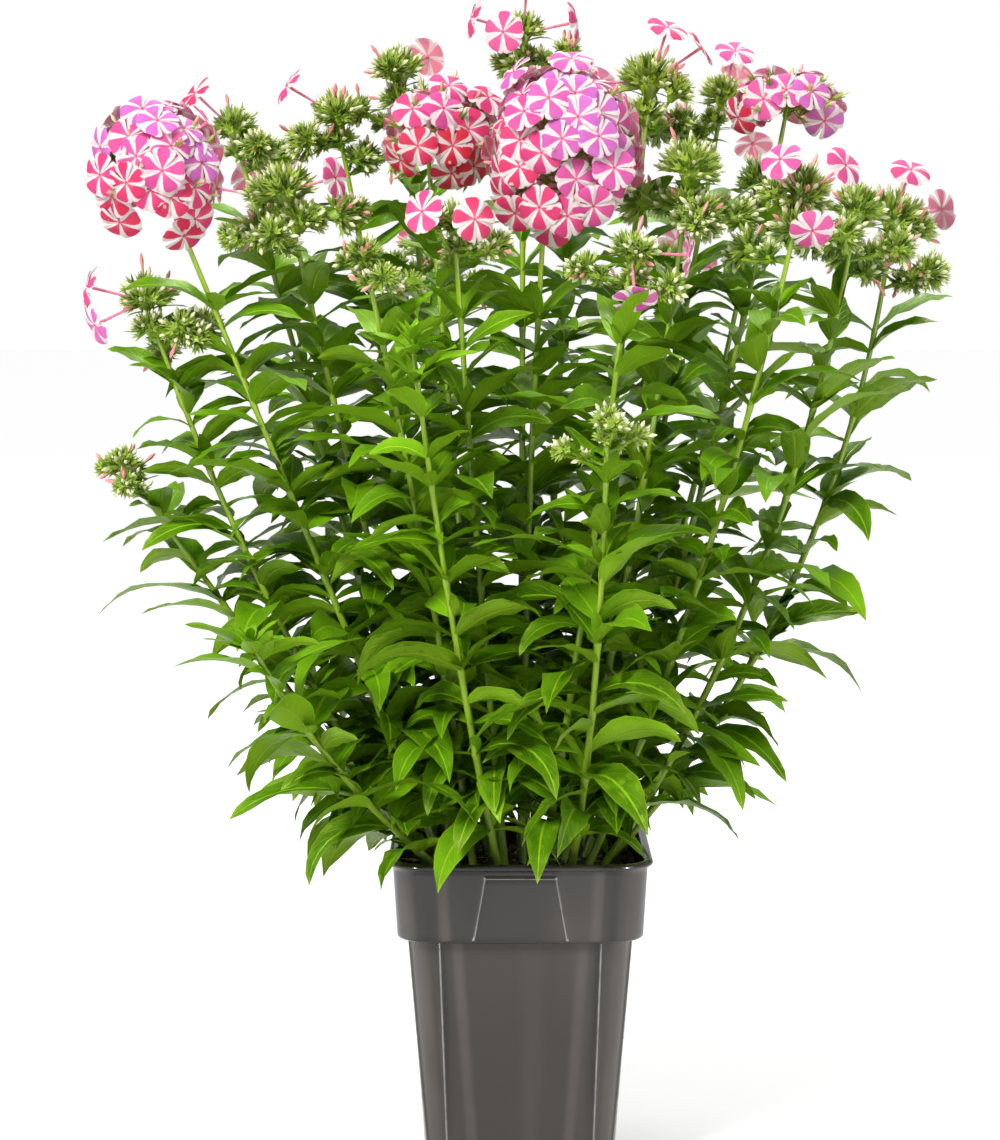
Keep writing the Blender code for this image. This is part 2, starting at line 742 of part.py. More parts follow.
def potShape():
    """The pot's outside from the base up, over the lip, and its inside down to the floor."""
    radius, wall = pot["cornerRadius"], pot["wall"]
    step = pot["height"] - pot["collarHeight"]
    lip = pot["height"] - pot["lipHeight"]
    rows = [
        (pot["baseWidth"] - 4 * mm, 0, radius - 2 * mm),
        (bodyWidth(2 * mm), 2 * mm, radius),
        (bodyWidth(step - 1 * mm), step - 1 * mm, radius),
        (pot["collarFootWidth"], step, radius),
        (pot["collarWidth"], lip - 1 * mm, radius),
        (pot["rimWidth"], lip, radius + 2 * mm),
        (pot["rimWidth"], pot["height"], radius + 2 * mm),
        (pot["collarWidth"] - 2 * wall, pot["height"], radius - wall),
        (innerWidth(step + wall + 0.1 * mm), step + wall + 0.1 * mm, radius - wall),
        (innerWidth(step + wall), step + wall, radius - wall),
        (innerWidth(pot["floor"]), pot["floor"], radius - wall),
    ]
    rings = [roundedSquare(w, r, z, pot["cornerSteps"]) for w, z, r in rows]
    return loftRings(rings)


def soilHeight(x, y, share):
    """The soil's surface: a low mound with lumps, level at the wall."""
    lumps = math.sin(x * 160) * math.cos(y * 190) + 0.6 * math.sin(x * 330 + y * 270)
    return (soil["level"] - soil["mound"] * share ** 2
            + soil["crumb"] * lumps * (1 - share ** 4) - 1.0 * mm)


def soilShape():
    """The soil as a filling of the pot, clear of its walls and floor."""
    gap, steps = soil["gap"], pot["cornerSteps"]
    step = pot["height"] - pot["collarHeight"] + pot["wall"]
    edge = soil["level"] - soil["mound"]
    radius = pot["cornerRadius"] - pot["wall"] - gap
    rings = []
    for z in (pot["floor"] + gap, step + gap, step + 2.2 * gap, edge):
        wide = innerWidth(z if z != step + gap else step - gap) - 2 * gap
        rings.append(roundedSquare(wide, radius, z, steps))
    for share in (0.74, 0.40):
        ring = []
        for p in rings[3]:
            x, y = p.x * share, p.y * share
            ring.append(Vector((x, y, soilHeight(x, y, share))))
        rings.append(ring)
    return loftRings(rings)


def makePot(collection):
    obj = shapeObject("pot", collection, potShape())
    obj.data.materials.append(materialFor("pot"))
    return obj


def makeSoil(collection):
    """The soil with a plain hole for each stem's foot."""
    obj = shapeObject("soil", collection, soilShape())
    obj.data.materials.append(materialFor("soil"))
    holes = newCollection("holes", collection)
    for stem in stems:
        foot, along = stemPoint(stem, 0), stemAlong(stem, 0)
        start = foot - along * (growth["rootDepth"] + soil["holeGap"])
        sides = soil["holeSides"]
        wide = (growth["footRadius"] + soil["holeGap"]) / math.cos(math.pi / sides)
        coneObject("hole", holes, start, foot + along * 20 * mm, wide, wide, sides)
    joinInto(obj, holes, "DIFFERENCE")
    return obj


# The plant

def makeStem(collection, grown):
    """One leafy stem: its tube, leaves, bud clusters and single florets in one solid."""
    stem = grown["stem"]
    line = stemLine(stem, 5)
    if "bloom" in stem:
        line = cutBelowBloom(stem, line)
    obj = tubeObject("stem_" + stem["name"], collection, line, "leaf", 0)
    repeats = newCollection("repeats", collection)
    for leaf in grown["leaves"]:
        shapeObject("leaf", repeats, leafShape(leaf))
    for cluster in grown["clusters"]:
        shapeObject("cluster", repeats, clusterShape(cluster))
    for single in grown["florets"]:
        shape = floretShape(single["centre"], single["facing"], single["roll"], single["start"])
        shapeObject("floret", repeats, shape)
    joinInto(obj, repeats)
    return obj


def makeBloom(name, collection, florets, stem):
    """A dense head: florets standing out of a core that has a socket for its stem."""
    bloom = blooms[name]
    middle = Vector(bloom["at"]) * mm
    radii = [r * mm * 0.84 for r in bloom["radii"]]
    obj = ballObject(name, collection, middle, radii, 2, "petal")
    repeats = newCollection("repeats", collection)
    for one in florets:
        end = one["centre"] - one["facing"] * min(bloom["radii"]) * mm * 0.30
        shape = floretShape(one["centre"], one["facing"], one["roll"], end, 1)
        shapeObject("floret", repeats, shape)
    joinInto(obj, repeats)
    sockets = newCollection("sockets", collection)
    end, before = cutBelowBloom(stem, stemLine(stem, 5))[-1:-3:-1]
    along = (end[0] - before[0]).normalized()
    wide = (end[1] + 0.4 * mm) / math.cos(math.pi / 6)
    coneObject("socket", sockets, end[0] - along * 70 * mm, end[0] + along * 0.3 * mm, wide, wide, 6)
    joinInto(obj, sockets, "DIFFERENCE")
    return obj


def main():
    for obj in list(bpy.data.objects):
        bpy.data.objects.remove(obj)
    collection = newCollection("phlox_plant", bpy.context.scene.collection)
    plant, heads = growPlant([("pot", potShape()), ("soil", soilShape())])
    makePot(collection)
    makeSoil(collection)
    for grown in plant.values():
        makeStem(collection, grown)
    for stem in stems:
        if "bloom" in stem:
            makeBloom(stem["bloom"], collection, heads[stem["bloom"]], stem)


main()
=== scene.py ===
# A potted garden phlox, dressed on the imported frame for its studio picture. It grows by the
# same rules and the same random draws as its plain solids, then takes on its finer parts.

import math
import random

import bmesh
import bpy
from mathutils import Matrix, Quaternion, Vector
from mathutils.bvhtree import BVHTree


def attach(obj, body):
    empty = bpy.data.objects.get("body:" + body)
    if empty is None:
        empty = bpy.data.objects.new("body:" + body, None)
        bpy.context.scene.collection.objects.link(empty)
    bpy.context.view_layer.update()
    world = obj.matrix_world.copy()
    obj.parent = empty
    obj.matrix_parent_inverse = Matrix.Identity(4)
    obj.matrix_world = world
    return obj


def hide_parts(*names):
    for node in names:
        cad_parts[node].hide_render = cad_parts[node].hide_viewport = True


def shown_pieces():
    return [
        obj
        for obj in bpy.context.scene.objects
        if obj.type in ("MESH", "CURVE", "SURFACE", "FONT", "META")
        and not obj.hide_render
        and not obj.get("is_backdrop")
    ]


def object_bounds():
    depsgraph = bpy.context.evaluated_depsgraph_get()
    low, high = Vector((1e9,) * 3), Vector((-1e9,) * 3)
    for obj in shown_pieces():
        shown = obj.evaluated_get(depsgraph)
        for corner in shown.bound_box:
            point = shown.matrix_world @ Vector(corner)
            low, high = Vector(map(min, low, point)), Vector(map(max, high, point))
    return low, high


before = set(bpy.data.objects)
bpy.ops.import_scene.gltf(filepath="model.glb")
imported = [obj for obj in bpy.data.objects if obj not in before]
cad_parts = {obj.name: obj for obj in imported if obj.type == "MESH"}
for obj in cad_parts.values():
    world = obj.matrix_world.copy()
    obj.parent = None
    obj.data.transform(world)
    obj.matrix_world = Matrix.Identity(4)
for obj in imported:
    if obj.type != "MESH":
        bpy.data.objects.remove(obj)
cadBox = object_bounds()

mm = 0.001
deg = math.pi / 180

# The pot, in metres.
pot = {
    "height": 200 * mm,
    "rimWidth": 157 * mm,
    "collarWidth": 151 * mm,
    "collarFootWidth": 146 * mm,
    "collarHeight": 47 * mm,
    "bodyTopWidth": 133 * mm,
    "baseWidth": 111 * mm,
    "lipHeight": 4 * mm,
    "wall": 2.2 * mm,
    "floor": 3.0 * mm,
    "cornerRadius": 24 * mm,
    "cornerSteps": 4,
}
collarFoot = pot["height"] - pot["collarHeight"]

# The soil fills the pot to a low mound round the crown.
soil = {
    "level": 191 * mm,
    "mound": 5 * mm,
    "gap": 0.4 * mm,
    "crumb": 1.2 * mm,
}

# How every stem and leaf grows.
growth = {
    "seed": 11,
    "rootDepth": 24 * mm,
    "straightFoot": 9 * mm,
    "footRadius": 3.0 * mm,
    "topRadius": 1.7 * mm,
    "rise": 0.42,
    "pairGap": 44 * mm,
    "firstPair": 0.10,
    "lastPair": 0.93,
    "leafLength": 82 * mm,
    "leafWidth": 22 * mm,
    "leafKeel": 1.5 * mm,
    "guard": 1.3 * mm,
    "clusterRadius": 19 * mm,
    "drawsPerFloret": 8,        # the draws that a floret of a plain solid head takes
}

# One floret: five broad petals on a thin tube.
floret = {
    "radius": 13.0 * mm,
    "petalHalfAngle": 23 * deg,
    "hollow": 1.0 * mm,
    "depth": 3.2 * mm,
    "tubeRadius": 1.1 * mm,
    "tubeLength": 21 * mm,
}

# The dense heads: the middle of each, its three radii and its number of florets.
blooms = {
    "bloom_left": {"at": (-209, -70, 603), "radii": (43, 38, 44), "florets": 21},
    "bloom_main": {"at": (16, -66, 617), "radii": (58, 44, 56), "florets": 33},
    "bloom_inner": {"at": (-56, 4, 629), "radii": (36, 30, 34), "florets": 14},
    "bloom_right": {"at": (160, 12, 644), "radii": (32, 28, 24), "florets": 10},
    "bloom_back": {"at": (34, 158, 636), "radii": (44, 38, 40), "florets": 15},
}

# The stems in millimetres: name, foot, top, bow, head and single florets. The bow says how far
# a stem leans out before it turns up. The head is a dense one's name, a number for buds and
# their share of full size, or None for a leafy tip. Single florets are given by azimuth (0 to
# the front, 90 to the right) and elevation, in degrees.
stems = []
for name, foot, top, bow, head, *singles in (
        ("low_left", (-58, -12), (-220, -40, 528), 0.60, 1.0, (-78, 14), (-62, -24)),
        ("left", (-46, -27), (-209, -70, 603), 0.42, "bloom_left"),
        ("left_back", (-52, 20), (-176, 66, 632), 0.42, 0.9, (38, -18), (-60, 40)),
        ("left_middle", (-37, -6), (-139, -20, 592), 0.50, 1.1, (70, 16)),
        ("left_inner", (-33, 16), (-112, 52, 640), 0.36, 1.0, (-76, 30)),
        ("front_left", (-28, -34), (-88, -120, 553), 0.30, 0.75),
        ("back_left", (-20, 38), (-74, 92, 668), 0.50, 1.0, (150, 20)),
        ("inner_left", (-17, 4), (-56, 4, 629), 0.50, "bloom_inner"),
        ("centre_front", (-9, -34), (-38, -106, 572), 0.50, 0.8, (22, 4), (-34, 12)),
        ("centre", (2, -15), (16, -66, 617), -0.10, "bloom_main"),
        ("top_centre", (1, 21), (2, 34, 688), 0.50, 0.85, (-80, 16), (84, 12), (10, 66),
         (-22, -2)),
        ("right_inner", (20, 6), (78, 22, 658), 0.55, 1.2, (-84, -4), (30, 58), (84, 34)),
        ("right_middle", (26, -17), (99, -40, 604), 0.60, 1.2),
        ("front_right", (13, -49), (61, -142, 556), 0.50, 0.8, (66, -14), (4, -56)),
        ("right_back", (34, 31), (126, 82, 652), 0.50, 0.9, (20, 56), (160, 20)),
        ("right", (40, 9), (160, 12, 644), 0.60, "bloom_right"),
        ("right_front", (41, -26), (160, -92, 588), 0.60, 1.1, (-30, 34), (6, -34), (44, 28)),
        ("right_low", (53, -9), (196, -48, 580), 0.75, 1.0),
        ("right_outer", (58, 12), (224, 14, 576), 0.85, 1.2, (20, 52), (120, 10)),
        ("nodding", (30, -47), (47, -158, 462), 0.90, 0.6),
        ("front_tip", (-12, -54), (-61, -146, 508), 0.55, None),
        ("low_tip", (-46, -46), (-153, -138, 338), 0.60, None),
        ("side_left", (-60, 5), (-238, -6, 430), 0.46, 0.7),
        ("back", (8, 48), (34, 158, 636), 0.55, "bloom_back"),
        ("back_right", (38, 50), (156, 156, 600), 0.60, 1.1, (150, 20), (-170, 50)),
        ("left_rear", (-40, 46), (-160, 158, 592), 0.60, 1.1, (-150, 24), (170, 48), (-100, 10)),
        ("rear_left", (-15, 60), (-62, 214, 560), 0.65, 1.0, (-170, 20)),
        ("rear_right", (22, 62), (96, 218, 548), 0.65, 1.0, (160, 30), (110, 0))):
    stems.append({"name": name, "foot": foot, "top": top, "bow": bow, "florets": singles,
                  "buds": head if isinstance(head, float) else 0,
                  "bloom": head if isinstance(head, str) else ""})


# Directions

def aim(azimuth, elevation):
    # The unit vector at an azimuth from the front towards the right, and an elevation.
    flat = math.cos(elevation)
    return Vector((math.sin(azimuth) * flat, -math.cos(azimuth) * flat, math.sin(elevation)))


def turnTo(direction):
    # The rotation that stands +Z on a direction.
    return Vector((0, 0, 1)).rotation_difference(direction)


def spoke(angle):
    # The flat unit vector at an angle round Z.
    return Vector((math.cos(angle), math.sin(angle), 0))


def spread(count, lowest):
    # Directions spaced evenly over a ball by the golden angle, from the top down to a height.
    found = []
    for i in range(count):
        z = 1 - (1 - lowest) * (i + 0.5) / count
        turn = i * math.pi * (3 - math.sqrt(5))
        flat = math.sqrt(max(0, 1 - z * z))
        found.append(Vector((math.cos(turn) * flat, math.sin(turn) * flat, z)))
    return found


def stray(draw, reach):
    # A small vector at random.
    return Vector([draw.uniform(-reach, reach) for _ in range(3)])


def times(way, radii):
    # A vector stretched by three radii.
    return Vector([way[k] * radii[k] for k in range(3)])


# The way a stem runs

def stemEnds(stem):
    # A stem's foot on the soil, the point that it leans out to, and its top.
    foot = Vector((stem["foot"][0] * mm, stem["foot"][1] * mm, soil["level"]))
    top = Vector(stem["top"]) * mm
    bend = foot.lerp(top, stem["bow"])
    bend.z = foot.z + (top.z - foot.z) * growth["rise"]
    return foot, bend, top


def stemPoint(stem, t):
    # A point on the stem, with t from 0 at the soil to 1 at its top.
    foot, bend, top = stemEnds(stem)
    return foot * (1 - t) ** 2 + bend * 2 * t * (1 - t) + top * t * t


def stemAlong(stem, t):
    # The way that the stem points at t.
    foot, bend, top = stemEnds(stem)
    return ((bend - foot) * (1 - t) + (top - bend) * t).normalized()


def stemRadius(t):
    return growth["footRadius"] + (growth["topRadius"] - growth["footRadius"]) * t


def stemLine(stem, steps):
    # The points along a stem from its root up, with the radius at each.
    foot, along = stemPoint(stem, 0), stemAlong(stem, 0)
    line = [(foot - along * growth["rootDepth"], stemRadius(0) * 0.9)]
    line.append((foot + along * growth["straightFoot"], stemRadius(0)))
    for i in range(1, steps + 1):
        t = 0.12 + 0.88 * i / steps
        line.append((stemPoint(stem, t), stemRadius(t)))
    return line


# The way a leaf lies

def leafLine(leaf, shares):
    # The midrib's point, side and upper normal at each share of the leaf's length.
    # A leaf leaves the stem at its rise, arches over by its droop and swings a little sideways.
    found, point, done, steps = [], leaf["root"].copy(), 0.0, 24
    for share in shares:
        count = max(1, round((share - done) * steps))
        for i in range(count):
            part = done + (share - done) * (i + 0.5) / count
            turn = leaf["heading"] + leaf["swing"] * part
            way = aim(turn, leaf["rise"] - leaf["droop"] * part)
            point = point + way * leaf["length"] * (share - done) / count
        done = share
        turn = leaf["heading"] + leaf["swing"] * share
        way = aim(turn, leaf["rise"] - leaf["droop"] * share)
        side = aim(turn - math.pi / 2, 0)
        side.rotate(Quaternion(way, leaf["roll"] + leaf["twist"] * share))
        found.append((point.copy(), side, side.cross(way)))
    return found


def leafHalfWidth(leaf, share):
    # Lance-shaped: widest at two fifths of the length, with a long drawn-out tip.
    return leaf["width"] / 2 * 3.42 * share ** 0.75 * (1 - share) ** 1.06


def leafShape(leaf, start=0.0):
    # The blade as points and faces: flat above, with a keel below, and sharp at both ends.
    shares = (start, 0.34, 0.68, 1.0)
    line = leafLine(leaf, shares)
    points = [line[0][0]]
    for (middle, side, up), share in zip(line[1:3], shares[1:3]):
        half = leafHalfWidth(leaf, share)
        keel = growth["leafKeel"] * (1.25 - share)
        points += [middle + side * half, middle - side * half, middle - up * keel]
    points.append(line[3][0])
    faces = [(0, 1, 2), (5, 4, 7), (0, 3, 1), (4, 6, 7), (0, 2, 3), (6, 5, 7)]
    for quad in ((1, 4, 5, 2), (3, 6, 4, 1), (2, 5, 6, 3)):
        faces += fullerSplit(points, quad)
    return points, faces


def fullerSplit(points, quad):
    # Two triangles for a bent quad, split the way that bulges out, so the blade keeps its body.
    a, b, c, d = quad
    return max((((a, b, c), (a, c, d)), ((a, b, d), (b, c, d))), key=lambda pair: sum(
        points[i].dot(points[j].cross(points[k])) for i, j, k in pair))


def leafGuard(leaf, start=0.0):
    # The room that a leaf needs: its blade, fuller all round and longer at the tip.
    shares, more = (start, 0.34, 0.68, 1.03), growth["guard"]
    line = leafLine(leaf, shares)
    points = [line[0][0]]
    for (middle, side, up), share in zip(line[1:3], shares[1:3]):
        half = leafHalfWidth(leaf, share) + 1.6 * more
        keel = growth["leafKeel"] * (1.25 - share) + more
        points += [middle + side * half, middle + up * more,
                   middle - side * half, middle - up * keel]
    points.append(line[3][0])
    faces = []
    for k in range(4):
        a, b = 1 + k, 1 + (k + 1) % 4
        faces += [(0, a, b), (a, a + 4, b + 4), (a, b + 4, b), (a + 4, 9, b + 4)]
    return points, faces


# Plain shapes that show what is in the way

def ringsAlong(line, sides):
    # A ring round each point of a line, which has a radius at each.
    rings = []
    for i, (point, radius) in enumerate(line):
        ahead = line[min(i + 1, len(line) - 1)][0] - line[max(i - 1, 0)][0]
        turned = turnTo(ahead.normalized())
        angles = [2 * math.pi * k / sides for k in range(sides)]
        rings.append([point + turned @ spoke(a) * radius
                      for a in angles])
    return rings


def ringFaces(count, rows):
    # The quads between rows of like rings.
    faces = []
    for i in range(rows - 1):
        for k in range(count):
            a, b = i * count + k, i * count + (k + 1) % count
            faces.append((a, b, b + count, a + count))
    return faces


def tubeShape(line, sides):
    # A tube as points and faces.
    return [p for ring in ringsAlong(line, sides) for p in ring], ringFaces(sides, len(line))


def ballShape(centre, radii):
    # A coarse ball as points and faces.
    points, rows, columns = [], 5, 8
    for i in range(rows + 1):
        tilt = math.pi * (0.02 + 0.96 * i / rows)
        for k in range(columns):
            turned = 2 * math.pi * k / columns
            points.append(centre + Vector((
                radii[0] * math.sin(tilt) * math.cos(turned),
                radii[1] * math.sin(tilt) * math.sin(turned), radii[2] * math.cos(tilt))))
    return points, ringFaces(columns, rows + 1)


def floretShape(centre, facing, end):
    # Five petals in one outline, hollow in front, tapering behind to a point on its stalk.
    turned = turnTo(facing)
    points = []
    for petal in range(5):
        for side in (-1, 1):
            angle = petal * 72 * deg + side * floret["petalHalfAngle"]
            out = turned @ spoke(angle)
            points.append(centre + out * floret["radius"])
    points.append(centre - facing * floret["hollow"])
    faces = [(i, (i + 1) % 10, 10) for i in range(10)]
    for k in range(5):
        angle = k * 72 * deg
        flat = spoke(angle) * floret["tubeRadius"] * 1.8
        points.append(centre - facing * floret["depth"] + turned @ flat)
    points.append(end)
    for k in range(5):
        a, b, c = 2 * k, 2 * k + 1, (2 * k + 2) % 10
        here, ahead, last = 11 + k, 11 + (k + 1) % 5, 16
        faces += [(b, a, here), (c, b, here), (c, here, ahead), (ahead, here, last)]
    return points, faces


def clusterShape(cluster):
    # A knot of calyces on its branch: faces drawn out to points round a small core.
    centre, radius = cluster["centre"], cluster["radius"] * 1.06    # with a little room
    turned = turnTo(cluster["along"])
    sides = cluster["sides"]
    points = [centre + cluster["along"] * radius * 0.42]
    for wide, high in ((0.56, 0.10), (0.24, -0.62)):
        for k in range(sides):
            angle = 2 * math.pi * k / sides
            flat = Vector((math.cos(angle) * wide, math.sin(angle) * wide, high))
            points.append(centre + turned @ flat * radius)
    points.append(cluster["from"])
    faces, last = [], len(points) - 1
    for k in range(sides):
        a, b = 1 + k, 1 + (k + 1) % sides
        c, d = a + sides, b + sides
        for ring in ((0, a, b), (b, a, c, d)):
            middle = sum((points[i] for i in ring), Vector()) / len(ring)
            points.append(centre + (middle - centre).normalized() * radius)
            tip = len(points) - 1
            faces += [(ring[i], ring[(i + 1) % len(ring)], tip) for i in range(len(ring))]
        faces.append((d, c, last))
    return points, faces


# What is already there

class Clearing:
    # Remembers every shape that has grown, and says whether a new one would cross another.

    def __init__(self):
        self.entries = []

    def add(self, node, shape, blade=None):
        self.entries.append((node, self.bounds(shape[0]), BVHTree.FromPolygons(*shape),
                             BVHTree.FromPolygons(*blade) if blade else None))

    def bounds(self, points):
        return [(min(p[k] for p in points), max(p[k] for p in points)) for k in range(3)]

    def crosses(self, node, shape, blade=None):
        # True if the shape meets another node's, or its blade meets one on its own node.
        reach = self.bounds(shape[0])
        whole = BVHTree.FromPolygons(*shape)
        own = BVHTree.FromPolygons(*blade) if blade else None
        for other, (x, y, z), tree, otherBlade in self.entries:
            if (x[0] > reach[0][1] or x[1] < reach[0][0] or y[0] > reach[1][1]
                    or y[1] < reach[1][0] or z[0] > reach[2][1] or z[1] < reach[2][0]):
                continue
            if other != node:
                if whole.overlap(tree):
                    return True
            elif own and otherBlade and own.overlap(otherBlade):
                return True
        return False


# Where everything grows

def clustersOf(stem, draw, clearing):
    # The bud clusters of a head: one at the stem's top and others on short side branches.
    size = stem["buds"]
    top, along = stemPoint(stem, 1), stemAlong(stem, 1)
    radius = growth["clusterRadius"] * size
    found = [{"centre": top, "along": along, "radius": radius, "sides": 5,
              "from": top - along * radius * 1.5}]
    clearing.add(stem["name"], clusterShape(found[0]))
    turn = draw.uniform(0, 360)
    for i in range(3 if size > 0.95 else 2):
        root = top - along * (20 + 9 * i) * mm * (0.6 + 0.4 * size)
        radius = (14.5 - 1.2 * i) * mm * size
        for tried in range(16):
            azimuth = (turn + i * 137.5 + tried * 31) * deg
            reach = (27 + 3 * i) * mm * (0.5 + 0.5 * size)
            centre = root + aim(azimuth, (22 - 8 * (tried % 3)) * deg) * reach
            cluster = {"centre": centre, "along": (centre - root).normalized(),
                       "radius": radius, "sides": 4, "from": root}
            shape = clusterShape(cluster)
            ball = ballShape(centre, [radius * 1.1] * 3)
            if not clearing.crosses(stem["name"], shape, ball) and not clearing.crosses("", ball):
                clearing.add(stem["name"], shape, ball)
                found.append(cluster)
                break
    return found


def floretsOf(stem, clusters, draw, clearing):
    # The single open florets of a bud head, each at the end of its tube.
    found = []
    middle, radius = clusters[0]["centre"], clusters[0]["radius"]
    for azimuth, elevation in stem["florets"]:
        for tried in range(10):
            shift = 9 * ((tried + 1) // 2) * (-1) ** tried
            facing = aim((azimuth + shift) * deg, (elevation + shift * 0.4) * deg)
            start = middle + facing * radius * 0.3
            centre = start + facing * (floret["tubeLength"] + radius * 0.4)
            shape = floretShape(centre, facing, centre - facing * floret["depth"])
            if not clearing.crosses(stem["name"], shape, shape):
                clearing.add(stem["name"], shape, shape)
                found.append({"start": start, "centre": centre, "facing": facing,
                              "roll": draw.uniform(0, 72) * deg})
                break
    return found


def leafAt(root, *degrees):
    # A leaf from its root and its six angles in degrees.
    names = ("heading", "rise", "droop", "swing", "roll", "twist")
    return dict(zip(names, [angle * deg for angle in degrees]), root=root)


# The ways a leaf may bend to keep clear: turn, extra rise and share of its length.
leafBends = [(0, 0, 1), (13, 3, 1), (-13, 3, 1), (0, 14, 1), (0, -14, 1), (26, 0, 1), (-26, 0, 1),
             (8, 26, 0.95), (20, -18, 0.92), (-20, -18, 0.92), (38, 8, 0.9), (-38, 8, 0.9),
             (0, -28, 0.85), (0, 34, 0.8), (30, 16, 0.72), (-30, 16, 0.72), (50, 0, 0.66),
             (-50, 0, 0.66), (0, 10, 0.55), (14, -14, 0.5)]


def leavesOf(stem, draw, clearing):
    # The opposite pairs of leaves, each pair turned a quarter from the last.
    found = []
    foot, bend, top = stemEnds(stem)
    run = (bend - foot).length + (top - bend).length
    reach = growth["lastPair"] - growth["firstPair"]
    if stem["bloom"]:
        reach -= max(blooms[stem["bloom"]]["radii"]) * mm / run * 1.05
    reach -= 0.07 * stem["buds"]
    pairs = max(3, round(run * reach / growth["pairGap"]))
    turn = draw.uniform(0, 360)
    for pair in range(pairs):
        u = growth["firstPair"] + reach * pair / (pairs - 1)
        size = 0.74 + 0.62 * math.sin(math.pi * min(1, u * 0.9 + 0.08)) ** 0.8 * 0.55
        size *= 1.0 - 0.34 * max(0, u - 0.7) / 0.3
        for side in (0, 180):
            wanted = leafAt(stemPoint(stem, u), turn + side + draw.uniform(-9, 9),
                            17 + 33 * u + draw.uniform(-9, 9),
                            76 - 36 * u + draw.uniform(-18, 18), draw.uniform(-28, 28),
                            draw.uniform(-26, 26), draw.uniform(-34, 34))
            wanted["length"] = growth["leafLength"] * size * draw.uniform(0.86, 1.08)
            wanted["tone"] = draw.random()
            leaf = clearLeaf(stem, wanted, clearing)
            if leaf:
                found.append(leaf)
        turn += 90 + draw.uniform(-8, 8)
    return found


def clearLeaf(stem, wanted, clearing):
    # The leaf in the first of its bends that crosses nothing, or None.
    for turn, rise, share in leafBends:
        leaf = dict(wanted, heading=wanted["heading"] + turn * deg,
                    rise=wanted["rise"] + rise * deg, length=wanted["length"] * share)
        leaf["width"] = leaf["length"] * growth["leafWidth"] / growth["leafLength"]
        guards = leafGuard(leaf), leafGuard(leaf, 0.16)
        blades = leafShape(leaf), leafShape(leaf, 0.16)
        if not any(clearing.crosses(stem["name"], *shapes) for shapes in (guards, blades)):
            clearing.add(stem["name"], *blades)
            return leaf
    return None


def growPlant(obstacles):
    # Everything on the plant, by name, grown clear of the obstacles and of itself.
    draw = random.Random(growth["seed"])
    clearing = Clearing()
    for name, shape in obstacles:
        clearing.add(name, shape)
    for name, bloom in blooms.items():
        for _ in range(growth["drawsPerFloret"] * bloom["florets"]):
            draw.random()
        clearing.add(name, ballShape(Vector(bloom["at"]) * mm,
                                     [r * mm + 5 * mm for r in bloom["radii"]]))
    for stem in stems:
        line = stemLine(stem, 5)
        if stem["bloom"]:
            line = cutBelowBloom(stem, line)
        clearing.add(stem["name"], tubeShape(line, 6))
    plant = {stem["name"]: {"stem": stem, "clusters": [], "florets": []} for stem in stems}
    for stem in stems:
        if stem["buds"]:
            grown = plant[stem["name"]]
            grown["clusters"] = clustersOf(stem, draw, clearing)
            grown["florets"] = floretsOf(stem, grown["clusters"], draw, clearing)
    for stem in stems:
        plant[stem["name"]]["leaves"] = leavesOf(stem, draw, clearing)
    return plant


def cutBelowBloom(stem, line):
    # The stem's points up to where it ends inside its bloom's core.
    bloom = blooms[stem["bloom"]]
    end = 1 - bloom["radii"][2] * mm * 0.55 / (stemPoint(stem, 1) - stemPoint(stem, 0)).length
    kept = [p for p in line[:-1] if p[0].z < stemPoint(stem, end).z - 6 * mm]
    return kept + [(stemPoint(stem, end), stemRadius(end))]


# The pot and its soil

def roundedSquare(width, radius, z, steps):
    # The corners' arcs of a square outline, in order round it.
    ring, half = [], width / 2 - radius
    for corner in range(4):
        for i in range(steps + 1):
            angle = (corner + i / steps) * math.pi / 2
            middle = (half if corner in (0, 3) else -half, half if corner in (0, 1) else -half)
            ring.append(Vector((middle[0] + radius * math.cos(angle),
                                middle[1] + radius * math.sin(angle), z)))
    return ring


def loftRings(rings):
    # Closes a stack of like rings into one body, with flat ends.
    count = len(rings[0])
    faces = [tuple(reversed(range(count)))] + ringFaces(count, len(rings))
    faces.append(tuple((len(rings) - 1) * count + k for k in range(count)))
    return [p for ring in rings for p in ring], faces


def bodyWidth(z):
    # The pot body's outer width at a height.
    return pot["baseWidth"] + (pot["bodyTopWidth"] - pot["baseWidth"]) * z / collarFoot


def innerWidth(z):
    # The width inside the pot at a height.
    step = collarFoot + pot["wall"]
    if z <= step:
        return bodyWidth(z) - 2 * pot["wall"]
    share = (z - step) / (pot["height"] - step)
    outer = pot["collarFootWidth"] + (pot["collarWidth"] - pot["collarFootWidth"]) * share
    return outer - 2 * pot["wall"]


def potShape():
    # The pot's outside from the base up, over the lip, and its inside down to the floor.
    radius, wall = pot["cornerRadius"], pot["wall"]
    step = collarFoot
    lip = pot["height"] - pot["lipHeight"]
    rows = [
        (pot["baseWidth"] - 4 * mm, 0, radius - 2 * mm),
        (bodyWidth(2 * mm), 2 * mm, radius),
        (bodyWidth(step - 1 * mm), step - 1 * mm, radius),
        (pot["collarFootWidth"], step, radius),
        (pot["collarWidth"], lip - 1 * mm, radius),
        (pot["rimWidth"], lip, radius + 2 * mm),
        (pot["rimWidth"], pot["height"], radius + 2 * mm),
        (pot["collarWidth"] - 2 * wall, pot["height"], radius - wall),
        (innerWidth(step + wall + 0.1 * mm), step + wall + 0.1 * mm, radius - wall),
        (innerWidth(step + wall), step + wall, radius - wall),
        (innerWidth(pot["floor"]), pot["floor"], radius - wall),
    ]
    rings = [roundedSquare(w, r, z, pot["cornerSteps"]) for w, z, r in rows]
    return loftRings(rings)


